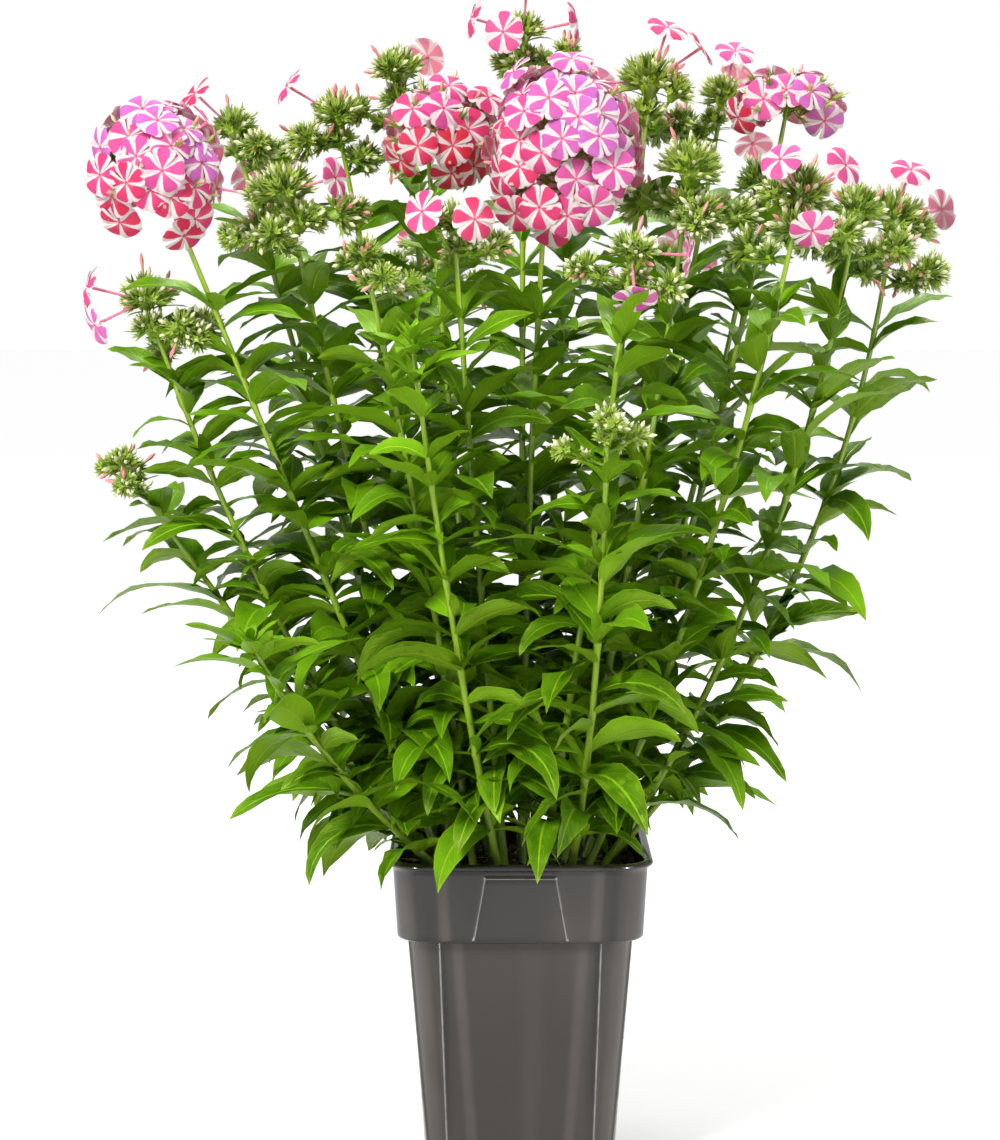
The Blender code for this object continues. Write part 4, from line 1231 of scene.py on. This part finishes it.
def makePotPiece(finish):
    step = collarFoot
    top, radius, wall, foot = pot["height"], pot["cornerRadius"], pot["wall"], pot["collarFootWidth"]
    lipFoot, belly = top - pot["lipHeight"], potLook["belly"]
    base = pot["baseWidth"]
    rows = [potRing(base - 8 * mm, radius - 4 * mm, 0),
            potRing(base - 3.0 * mm, radius - 1.5 * mm, 0.3 * mm),
            potRing(base - 0.6 * mm, radius, 1.6 * mm)]
    for i in range(14):
        share = i / 13
        z = 4 * mm + (step - 6 * mm) * share
        lines = potLook["linesFoot"] + (potLook["linesTop"] - potLook["linesFoot"]) * share
        rise = potLook["lineRise"] * smooth(-0.02, 0.1, share)
        rows.append(potRing(bodyWidth(z), radius, z, lines=lines, rise=rise, belly=belly))
    for width, z in ((bodyWidth(step - 0.8 * mm) + 0.4 * mm, step - 0.8 * mm),
                     (foot - 1.6 * mm, step - 0.4 * mm), (foot - 0.2 * mm, step + 0.5 * mm)):
        rows.append(potRing(width, radius, z, belly=belly))
    low, high = step + 1.4 * mm, lipFoot - 0.6 * mm
    badgeTop = lipFoot - 4.2 * mm
    heights = [(low + (badgeTop - 1 * mm - low) * i / 11, 1, 0) for i in range(12)]
    heights += [(badgeTop - 0.5 * mm, 1, 0.6), (badgeTop, 1, 1), (badgeTop + 0.5 * mm, 0.6, 0.6),
                (badgeTop + 1.0 * mm, 0, 0), (high, 0, 0)]
    for z, full, band in heights:
        share = (z - step) / (lipFoot - step)
        badge = potLook["badgeFoot"] + (potLook["badgeTop"] - potLook["badgeFoot"]) * share
        rows.append(potRing(foot + (pot["collarWidth"] - foot) * share, radius, z, badge,
                            potLook["badgeRise"] * full, potLook["badgeRise"] * band, belly=belly))
    rim, half = pot["rimWidth"], pot["lipHeight"] / 2
    for i in range(9):
        angle = -math.pi / 2 + math.pi * i / 8
        rows.append(potRing(rim - 2 * half + 2 * half * math.cos(angle), radius + 1 * mm,
                            lipFoot + half + half * math.sin(angle)))
    for width, z in ((pot["collarWidth"] - 2 * wall + 1.2 * mm, top - 0.3 * mm),
                     (pot["collarWidth"] - 2 * wall, top - 1.4 * mm),
                     (innerWidth(step + 8 * mm), step + 8 * mm),
                     (innerWidth(step + wall) - 1 * mm, step + wall),
                     (innerWidth(step - 4 * mm), step - 4 * mm),
                     (innerWidth(pot["floor"]), pot["floor"])):
        rows.append(potRing(width, radius - wall, z))
    return buildRings("nursery_pot", [ring for ring, _ in rows],
                      [mark for _, marks in rows for mark in marks], finish)


# The soil

soilLook = {
    "lump": 1.5 * mm,
    "crumbs": 620,
    "crumbSize": (0.8 * mm, 3.4 * mm),
    "litter": 150,
    "moss": 260,
    "fallen": 9,
    "dark": (0.012, 0.007, 0.004, 1),
    "brown": (0.060, 0.030, 0.014, 1),
    "straw": (0.420, 0.270, 0.100, 1),
    "mossGreen": (0.095, 0.190, 0.018, 1),
    "yellow": (0.620, 0.460, 0.060, 1),
}


def groundHeight(x, y):
    share = min(1, max(abs(x), abs(y)) / (pot["collarWidth"] / 2 - 4 * mm))
    fine = math.sin(x * 410 + 1.7 * math.sin(y * 300)) * math.cos(y * 460)
    finer = math.sin(x * 910 + y * 770) * math.cos(y * 1130 - x * 500)
    return (soilHeight(x, y, share) + soilLook["lump"] * 0.55 * fine * (1 - share ** 6)
            + soilLook["lump"] * 0.28 * finer)


def makeSoilPiece(finish):
    # the soil's bed: a fine rough top on the plain filling's sides
    gap, step = soil["gap"], collarFoot + pot["wall"]
    radius = pot["cornerRadius"] - pot["wall"] - gap
    edge = soil["level"] - soil["mound"] - 1.5 * mm
    rings = []
    for z in (pot["floor"] + gap, step - 4 * mm, step + 2.2 * gap, edge):
        rings.append(potRing(innerWidth(z if z < step else step + 1 * mm) - 2 * gap, radius, z)[0])
    outer = rings[3]
    for i in range(1, 30):
        share = 1 - i / 30
        ring = []
        for p in outer:
            x, y = p.x * share, p.y * share
            ring.append(Vector((x, y, groundHeight(x, y) * smooth(1, 0.94, share)
                                + edge * (1 - smooth(1, 0.94, share)))))
        rings.append(ring)
    return buildRings("soil_bed", rings, [plainTone] * (len(outer) * len(rings)), finish)


def onGround(draw, reach=0.97):
    half = (pot["collarWidth"] / 2 - pot["wall"] - 2.5 * mm) * reach
    while True:
        x, y = draw.uniform(-half, half), draw.uniform(-half, half)
        corner = half - 20 * mm
        over = Vector((max(0, abs(x) - corner), max(0, abs(y) - corner))).length
        if over < 19 * mm:
            return Vector((x, y, groundHeight(x, y)))


def addCrumb(heap, place, size, draw, kind, tone):
    # a small angular lump
    bm = bmesh.new()
    bmesh.ops.create_icosphere(bm, subdivisions=2 if size > 2 * mm else 1, radius=1)
    squash = Vector([draw.uniform(0.55, 1.1) for _ in range(3)]) * size
    turned = Quaternion(Vector((draw.random(), draw.random(), draw.random() + 0.1)).normalized(),
                        draw.uniform(0, 6.28))
    points = []
    for vert in bm.verts:
        rough = 1 + draw.uniform(-0.16, 0.16)
        points.append(place + turned @ Vector([vert.co[k] * squash[k] * rough for k in range(3)]))
    faces = [tuple(v.index for v in face.verts) for face in bm.faces]
    bm.free()
    heap.add(points, faces, [(0, 0)] * len(points), [(tone, 0, 0)] * len(points), kind)


def makeGroundLitter(finishes, draw):
    # crumbs, moss, straws and a few fallen yellow leaves, all lying in the soil's surface
    heap = Heap()
    low, high = soilLook["crumbSize"]
    for _ in range(soilLook["crumbs"]):
        size = low + (high - low) * draw.uniform(0, 1) ** 2.2
        place = onGround(draw) + Vector((0, 0, size * 0.25))
        addCrumb(heap, place, size * 0.8, draw, "soil", draw.random())
    for _ in range(soilLook["moss"]):
        place = onGround(draw, 0.99)
        patch = math.sin(place.x * 70 + 1) + math.sin(place.y * 90 + place.x * 40)
        if patch >= 0.3:
            size = draw.uniform(0.9, 2.3) * mm
            addCrumb(heap, place + Vector((0, 0, size * 0.3)), size, draw, "moss", draw.random())
    for _ in range(soilLook["litter"]):
        place = onGround(draw)
        turn, rise = draw.uniform(0, 360) * deg, draw.uniform(-3, 14) * deg
        length = draw.uniform(4, 15) * mm
        way = aim(turn, rise)
        bend = aim(turn + 1.57, 0) * length * draw.uniform(-0.2, 0.2)
        lift = Vector((0, 0, 0.6 * mm))
        line = [(place + lift, 0.35 * mm), (place + lift + way * length * 0.5 + bend, 0.45 * mm),
                (place + lift + way * length, 0.25 * mm)]
        if max(abs(line[2][0].x), abs(line[2][0].y)) < 66 * mm:    # clear of the pot's wall
            addTube(heap, line, 5, "straw", draw.random())
    for _ in range(soilLook["fallen"]):
        place = onGround(draw, 0.85) + Vector((0, 0, 1.2 * mm))
        length = draw.uniform(10, 18) * mm
        leaf = leafAt(place, draw.uniform(0, 360), 8, draw.uniform(0, 25),
                      draw.uniform(-30, 30), draw.uniform(-20, 20), 0)
        leaf.update(length=length, width=length * 0.36, tone=draw.random())
        addLeaf(heap, leaf, 0, draw, True, "fallen")
    return heap.build("soil_crumbs", finishes)


# Finishes

class Finish:  # a material's node tree, built a node at a time
    def __init__(self, name, roughness=0.5):
        self.material = bpy.data.materials.new(name)
        self.material.use_nodes = True
        self.tree = self.material.node_tree
        self.shader = self.tree.nodes["Principled BSDF"]
        self.set("Roughness", roughness)

    def feed(self, socket, value):
        if isinstance(value, bpy.types.NodeSocket):
            self.tree.links.new(value, socket)
        else:
            socket.default_value = value

    def set(self, name, value):
        self.feed(self.shader.inputs[name], value)

    def node(self, kind, inputs=(), **settings):
        made = self.tree.nodes.new("ShaderNode" + kind)
        for key, value in settings.items():
            setattr(made, key, value)
        for socket, value in dict(inputs).items():
            self.feed(made.inputs[socket], value)
        return made

    def math(self, operation, a, b=0.0):
        return self.node("Math", {0: a, 1: b}, operation=operation).outputs[0]

    def offCentre(self, value):    # how far a value is from a half
        return self.math("ABSOLUTE", self.math("SUBTRACT", value, 0.5))

    def step(self, value, low, high, toLow=0.0, toHigh=1.0):
        return self.node("MapRange", {"Value": value, "From Min": low, "From Max": high,
                                      "To Min": toLow, "To Max": toHigh},
                         interpolation_type="SMOOTHSTEP").outputs["Result"]

    def mix(self, share, a, b):
        return self.node("Mix", {0: share, 6: a, 7: b}, data_type="RGBA").outputs[2]

    def tint(self, base, share, strength, colour):    # lays a colour over a base
        return self.mix(self.math("MULTIPLY", share, strength), base, colour)

    def noise(self, scale, detail=3.0, coords=None, stretch=None):
        place = coords or self.node("TexCoord").outputs["Object"]
        if stretch:
            place = self.node("Mapping", {"Vector": place, "Scale": stretch}).outputs[0]
        return self.node("TexNoise", {"Vector": place, "Scale": scale,
                                      "Detail": detail}).outputs["Fac"]

    def uv(self):
        made = self.node("SeparateXYZ", {0: self.node("UVMap", uv_map="UVMap").outputs[0]})
        return made.outputs[0], made.outputs[1]

    def tone(self):
        made = self.node("Attribute", attribute_name="tone")
        return self.node("SeparateXYZ", {0: made.outputs["Vector"]}).outputs

    def bump(self, height, strength, distance):
        made = self.node("Bump", {"Height": height, "Strength": strength, "Distance": distance})
        self.set("Normal", made.outputs[0])


def leafFinish():
    look = leafLook
    f = Finish("leaf", 0.42)
    u, v = f.uv()
    tone, bright, under = f.tone()[:3]
    off = f.offCentre(u)
    midrib = f.step(off, 0.056, 0.020)
    slant = f.math("SUBTRACT", f.math("MULTIPLY", v, 9.0), f.math("MULTIPLY", off, 5.0))
    ripple = f.offCentre(f.math("FRACT", slant))
    side = f.math("MULTIPLY", f.step(ripple, 0.10, 0.0), f.step(off, 0.47, 0.30))
    base = f.mix(f.step(tone, 0.0, 1.0), look["darkGreen"], look["midGreen"])
    base = f.tint(base, f.step(tone, 0.50, 1.0), 0.62, look["brightGreen"])
    base = f.tint(base, bright, 0.80, look["brightGreen"])
    base = f.tint(base, f.step(f.noise(55.0), 0.35, 0.70), 0.35, look["brightGreen"])
    base = f.tint(base, side, 0.22, look["veinAndRimHighlight"])
    base = f.tint(base, midrib, 0.74, look["veinAndRimHighlight"])
    base = f.tint(base, under, 0.62, look["palerBeneath"])
    # painted highlight: a thin paler line along the leaf's edge, standing in for rim light
    f.set("Base Color", f.tint(base, f.step(off, 0.455, 0.50), 0.50, look["veinAndRimHighlight"]))
    f.set("Specular IOR Level", 0.46)
    f.set("Specular Tint", (0.85, 1.0, 0.20, 1))
    f.set("Roughness", f.step(f.noise(240.0, 2.0), 0.2, 0.8, 0.30, 0.46))
    height = f.math("ADD", f.math("MULTIPLY", midrib, -1.0), f.math("MULTIPLY", side, -0.55))
    height = f.math("ADD", height, f.math("MULTIPLY", f.noise(900.0, 2.0), 0.35))
    f.bump(height, 0.55, 0.0006)
    return f.material


def stalkFinish():
    look = stalkLook
    f = Finish("stalk", 0.45)
    height = f.tone()[1]
    base = f.mix(f.step(height, 0.0, 0.7), look["lowGreen"], look["highGreen"])
    streak = f.step(f.noise(300.0, 3.0, stretch=(1, 1, 0.06)), 0.42, 0.66)
    base = f.tint(base, streak, 0.35, leafLook["midGreen"])
    blush = f.math("MULTIPLY", f.step(f.noise(38.0), 0.52, 0.72), f.step(height, 0.45, 0.0))
    f.set("Base Color", f.tint(base, blush, 0.5, look["blush"]))
    f.bump(streak, 0.25, 0.0004)
    return f.material


def calyxFinish():
    look = budLook
    f = Finish("calyx", 0.50)
    tone, height = f.tone()[:2]
    base = f.mix(f.step(tone, 0.0, 1.0), look["calyxDark"], look["calyxLight"])
    rib = f.offCentre(f.math("FRACT", f.math("MULTIPLY", f.uv()[0], 5.0)))
    base = f.tint(base, f.step(rib, 0.16, 0.0), 0.5, look["calyxLight"])
    f.set("Base Color", f.tint(base, f.step(height, 0.55, 1.0), 0.55, look["calyxLight"]))
    f.bump(f.noise(1400.0, 2.0), 0.3, 0.0003)
    return f.material


def budFinish():
    look = budLook
    f = Finish("bud", 0.50)
    u, v = f.uv()
    base = f.mix(f.step(f.tone()[0], 0.25, 0.8), look["cream"], look["blush"])
    base = f.tint(base, f.step(v, 0.55, 0.0), 0.5, leafLook["brightGreen"])
    twist = f.math("FRACT", f.math("ADD", f.math("MULTIPLY", u, 5.0), f.math("MULTIPLY", v, 2.0)))
    f.set("Base Color", f.tint(base, f.step(twist, 0.75, 1.0), 0.25, look["blush"]))
    return f.material


def petalFinish():
    look = floretLook
    f = Finish("petal", 0.55)
    u, v = f.uv()
    tone, _, under = f.tone()[:3]
    wobble = f.math("MULTIPLY", f.math("SUBTRACT", f.noise(420.0, 2.0), 0.5), 0.16)
    off = f.math("ADD", f.math("MULTIPLY", f.offCentre(u), 2.0), wobble)
    reach = f.node("FloatCurve", {"Value": v})
    curve = reach.mapping.curves[0]
    for i, place in enumerate(look["wedge"]):    # a new curve has two points already
        if i < 2:
            curve.points[i].location = place
        else:
            curve.points.new(*place)
    reach.mapping.update()
    wedge = f.step(f.math("SUBTRACT", off, reach.outputs[0]), 0.07, -0.07)
    warm = f.mix(f.step(tone, 0.0, 0.2), look["red"], look["rose"])
    warm = f.mix(f.step(tone, 0.15, 0.55), warm, look["pink"])
    hue = f.mix(f.math("MULTIPLY", f.step(tone, 0.45, 1.0), f.step(v, 0.05, 0.85, 0.45, 1.0)),
                warm, look["lilac"])
    streak = f.step(f.noise(60.0, 3.0, f.node("UVMap", uv_map="UVMap").outputs[0], (9, 0.6, 1)),
                    0.3, 0.75)
    hue = f.tint(hue, streak, 0.05, look["white"])
    hue = f.mix(f.step(v, 0.50, 0.05, 0.0, 0.10), hue, look["white"])
    f.set("Base Color", f.tint(f.mix(wedge, look["white"], hue), under, 0.60, look["behind"]))
    f.bump(streak, 0.25, 0.0004)
    f.set("Subsurface Weight", 0.25)
    f.set("Subsurface Radius", (0.009, 0.0045, 0.006))
    f.set("Subsurface Scale", 1.0)
    f.set("Specular IOR Level", 0.15)
    return f.material


def tubeFinish():
    look = floretLook
    f = Finish("floret_tube", 0.55)
    base = f.mix(f.step(f.tone()[1], 0.0, 1.0), look["pink"], look["rose"])
    f.set("Base Color", f.tint(base, f.noise(500.0), 0.5, look["white"]))
    return f.material


def throatFinish():
    f = Finish("floret_throat", 0.6)
    f.set("Base Color", floretLook["throat"])
    return f.material


def potFinish():
    look = potLook
    f = Finish("glossy_plastic", look["roughness"])
    darker = tuple(c * 0.86 for c in look["grey"][:3]) + (1,)
    base = f.mix(f.step(f.noise(9.0, 4.0), 0.35, 0.70), darker, look["grey"])
    place = f.node("TexCoord").outputs["Object"]
    height = f.node("SeparateXYZ", {0: place}).outputs[2]
    # painted shade: the collar is darkened, more towards the lip, for the less light it catches
    collar = f.math("MULTIPLY", f.step(height, collarFoot - mm, collarFoot + mm),
                    f.step(height, 0.145, 0.200, 0.6, 1.0))
    base = f.mix(collar, base, look["paintedShadeGrey"])
    # painted highlight: upright noise streaks tinted paler, standing in for glossy reflections
    paintedGlossStreaks = f.step(f.noise(34.0, 2.0, place, (1, 1, 0.04)), 0.48, 0.70)
    base = f.tint(base, paintedGlossStreaks, 0.45, look["band"])
    _, paintedReflection, mark = f.tone()[:3]
    uneven = f.step(f.noise(16.0, 3.0), 0.25, 0.65, 0.55, 1.0)
    # painted reflection bands: the paler ones a painted highlight, the darker ones painted shade
    base = f.tint(base, f.step(paintedReflection, 0.5, 1.0), uneven, look["band"])
    base = f.tint(base, f.step(paintedReflection, 0.5, 0.0), uneven, look["paintedShadeGrey"])
    # painted highlight: the tops of the raised lines tinted pale, its strength broken up by noise
    lineHighlightStrength = f.step(f.noise(120.0, 4.0), 0.2, 0.7, 0.45, 0.95)
    f.set("Base Color", f.tint(base, f.step(mark, 0.25, 0.95), lineHighlightStrength, look["edge"]))
    scuff = f.step(f.noise(70.0, 6.0, stretch=(1, 1, 0.25)), 0.55, 0.80)
    f.set("Roughness", f.math("ADD", f.math("MULTIPLY", scuff, 0.14), look["roughness"]))
    f.bump(f.noise(26.0, 2.0), 0.12, 0.0012)
    f.set("Coat Weight", 0.35)
    f.set("Coat Roughness", 0.04)
    return f.material


def soilFinish():
    f = Finish("soil", 0.92)
    base = f.mix(f.step(f.noise(420.0, 6.0), 0.35, 0.72), soilLook["dark"], soilLook["brown"])
    f.set("Base Color", f.mix(f.step(f.tone()[0], 0.82, 1.0, 0.0, 0.5), base, soilLook["straw"]))
    f.bump(f.noise(700.0, 6.0), 0.8, 0.0012)
    return f.material


def plainFinish(name, colour, second, scale):
    f = Finish(name, 0.7)
    f.set("Base Color", f.mix(f.step(f.noise(scale, 4.0), 0.35, 0.7), colour, second))
    f.bump(f.noise(scale * 3, 3.0), 0.4, 0.0004)
    return f.material


# The stage

stageLook = {
    "cameraPlace": (-0.012, -2.0, 0.548),
    "cameraPitch": 5.2 * deg,
    "lens": 105.3,              # millimetres, on a 36 mm frame height
    "floorSize": 40.0,
    "floorGrey": (0.80, 0.80, 0.80, 1),
    "floorGlow": (0.22, 0.64),  # keeps the floor as white as the background behind it
    "skyLight": 0.42,
    "skyShown": 1.0,
    "narrow": 0.3,              # lights under this width only shine on glossy faces
    "lights": (                 # name, place, width, height, power
        ("key", (-1.3, -2.2, 2.2), 0.8, 0.8, 88),
        ("fill", (2.1, -1.8, 1.2), 1.4, 1.4, 16),
        ("top", (0.4, 1.0, 2.4), 1.0, 1.0, 38),
        ("left_strip", (-1.1, -1.2, 0.30), 0.10, 1.2, 26),
        ("right_strip", (1.1, -1.1, 0.30), 0.10, 1.2, 26),
    ),
}


def setStage():
    scene = bpy.context.scene
    half = stageLook["floorSize"] / 2
    mesh = bpy.data.meshes.new("floor")
    mesh.from_pydata([(-half, -half, 0), (half, -half, 0), (half, half, 0), (-half, half, 0)],
                     [], [(0, 1, 2, 3)])
    floor = bpy.data.objects.new("floor", mesh)
    scene.collection.objects.link(floor)
    pale = Finish("pale_floor", 0.9)
    pale.set("Base Color", stageLook["floorGrey"])
    seen = pale.node("LightPath").outputs["Is Camera Ray"]
    away = pale.node("VectorMath", {0: pale.node("TexCoord").outputs["Object"]},
                     operation="LENGTH").outputs["Value"]
    glow = pale.step(away, 0.25, 2.2, *stageLook["floorGlow"])
    pale.set("Emission Color", (1, 1, 1, 1))
    pale.set("Emission Strength", pale.math("MULTIPLY", seen, glow))
    mesh.materials.append(pale.material)
    floor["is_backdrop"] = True
    world = bpy.data.worlds.new("studio")
    world.use_nodes = True
    sky = world.node_tree.nodes["Background"]
    sky.inputs[0].default_value = (1, 1, 1, 1)
    path = world.node_tree.nodes.new("ShaderNodeLightPath")
    power = world.node_tree.nodes.new("ShaderNodeMapRange")
    power.inputs["To Min"].default_value = stageLook["skyLight"]
    power.inputs["To Max"].default_value = stageLook["skyShown"]
    world.node_tree.links.new(path.outputs["Is Camera Ray"], power.inputs["Value"])
    world.node_tree.links.new(power.outputs["Result"], sky.inputs[1])
    scene.world = world
    for name, place, width, height, watts in stageLook["lights"]:
        light = bpy.data.lights.new(name, "AREA")
        light.shape, light.size, light.size_y, light.energy = "RECTANGLE", width, height, watts
        lamp = bpy.data.objects.new(name, light)
        lamp.visible_diffuse = width > stageLook["narrow"]
        lamp.location = place
        aimAt = Vector((0, 0, min(place[2], 0.42))) - Vector(place)
        lamp.rotation_euler = aimAt.to_track_quat("-Z", "Y").to_euler()
        scene.collection.objects.link(lamp)
    lens = bpy.data.cameras.new("camera")
    lens.lens = stageLook["lens"]
    lens.sensor_width = 36
    lens.clip_end = 100
    camera = bpy.data.objects.new("camera", lens)
    camera.location = stageLook["cameraPlace"]
    camera.rotation_euler = (math.pi / 2 - stageLook["cameraPitch"], 0, 0)
    scene.collection.objects.link(camera)
    scene.camera = camera
    scene.view_settings.view_transform = "Standard"
    scene.view_settings.look = "None"


# The whole plant

def dress(piece, slot, *nodes):
    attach(piece, "root")
    if nodes:
        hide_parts(*nodes)


def main():
    low, high = cadBox
    plant = growPlant([("pot", potShape()), ("soil", soilShape())])
    print("grown:", sum(len(grown["leaves"]) for grown in plant.values()), "main leaves")
    finishes = {"leaf": leafFinish(), "stalk": stalkFinish(), "calyx": calyxFinish(),
                "bud": budFinish(), "petal": petalFinish(), "tube": tubeFinish(),
                "throat": throatFinish(), "pot": potFinish(), "soil": soilFinish()}
    greens = {k: finishes[k] for k in ("stalk", "leaf", "calyx", "bud")}
    colours = {k: finishes[k] for k in ("petal", "tube", "throat", "stalk", "calyx", "bud")}
    draw = random.Random(growth["seed"] + 1)
    for name, grown in plant.items():
        stem, heap = grown["stem"], Heap()
        addStalk(heap, stem, grown["leaves"])
        more = extraLeaves(stem, grown["leaves"], draw, low, high)
        leafyTip = not stem["buds"] and not stem["bloom"]
        for leaf in grown["leaves"] + more:
            share = heightShare(stem, leaf["root"].z)
            bright = 0.06 + 0.34 * share ** 2 + (0.70 * share ** 3 if leafyTip else 0)
            addLeaf(heap, leaf, bright, draw, leaf["length"] < 30 * mm)
        if leafyTip:
            addRosette(heap, stem, draw)
        for cluster in grown["clusters"]:
            for part in [cluster] + satellitesOf(cluster, draw):
                addCluster(heap, part, draw, name == "nodding")
        dress(heap.build("leafy_" + name, greens), "leaf", "stem_" + name)
        if grown["florets"]:
            singles = Heap()
            for single in grown["florets"]:
                start, facing = single["start"], single["facing"]
                addCalyx(singles, start - facing * 2 * mm, facing, *floretLook["calyx"],
                         draw.random())
                addFloret(singles, start, single["centre"], facing, single["roll"],
                          draw.uniform(0.1, 0.75), draw)
            dress(singles.build("florets_" + name, colours), "petal")
    print("leafy stems made")
    for stem in stems:
        if stem["bloom"]:
            dress(makeBloomPiece(stem["bloom"], draw, colours), "petal", stem["bloom"])
    print("dense heads made")
    dress(makePotPiece(finishes["pot"]), "pot", "pot")
    dress(makeSoilPiece(finishes["soil"]), "soil", "soil")
    look = soilLook
    ground = {"soil": finishes["soil"],
              "moss": plainFinish("moss", look["mossGreen"], leafLook["brightGreen"], 900.0),
              "straw": plainFinish("straw", look["straw"], look["brown"], 300.0),
              "fallen": plainFinish("fallen_leaf", look["yellow"], look["straw"], 260.0)}
    dress(makeGroundLitter(ground, draw), "soil")
    print("pot and soil made")
    setStage()
    for mesh in [mesh for mesh in bpy.data.meshes if not mesh.users]:
        bpy.data.meshes.remove(mesh)


main()
triangles = {}
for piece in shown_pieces():
    piece.data.calc_loop_triangles()
    triangles[piece.name] = len(piece.data.loop_triangles)
print("triangles:", sum(triangles.values()), "most in a piece:", max(triangles.values()))
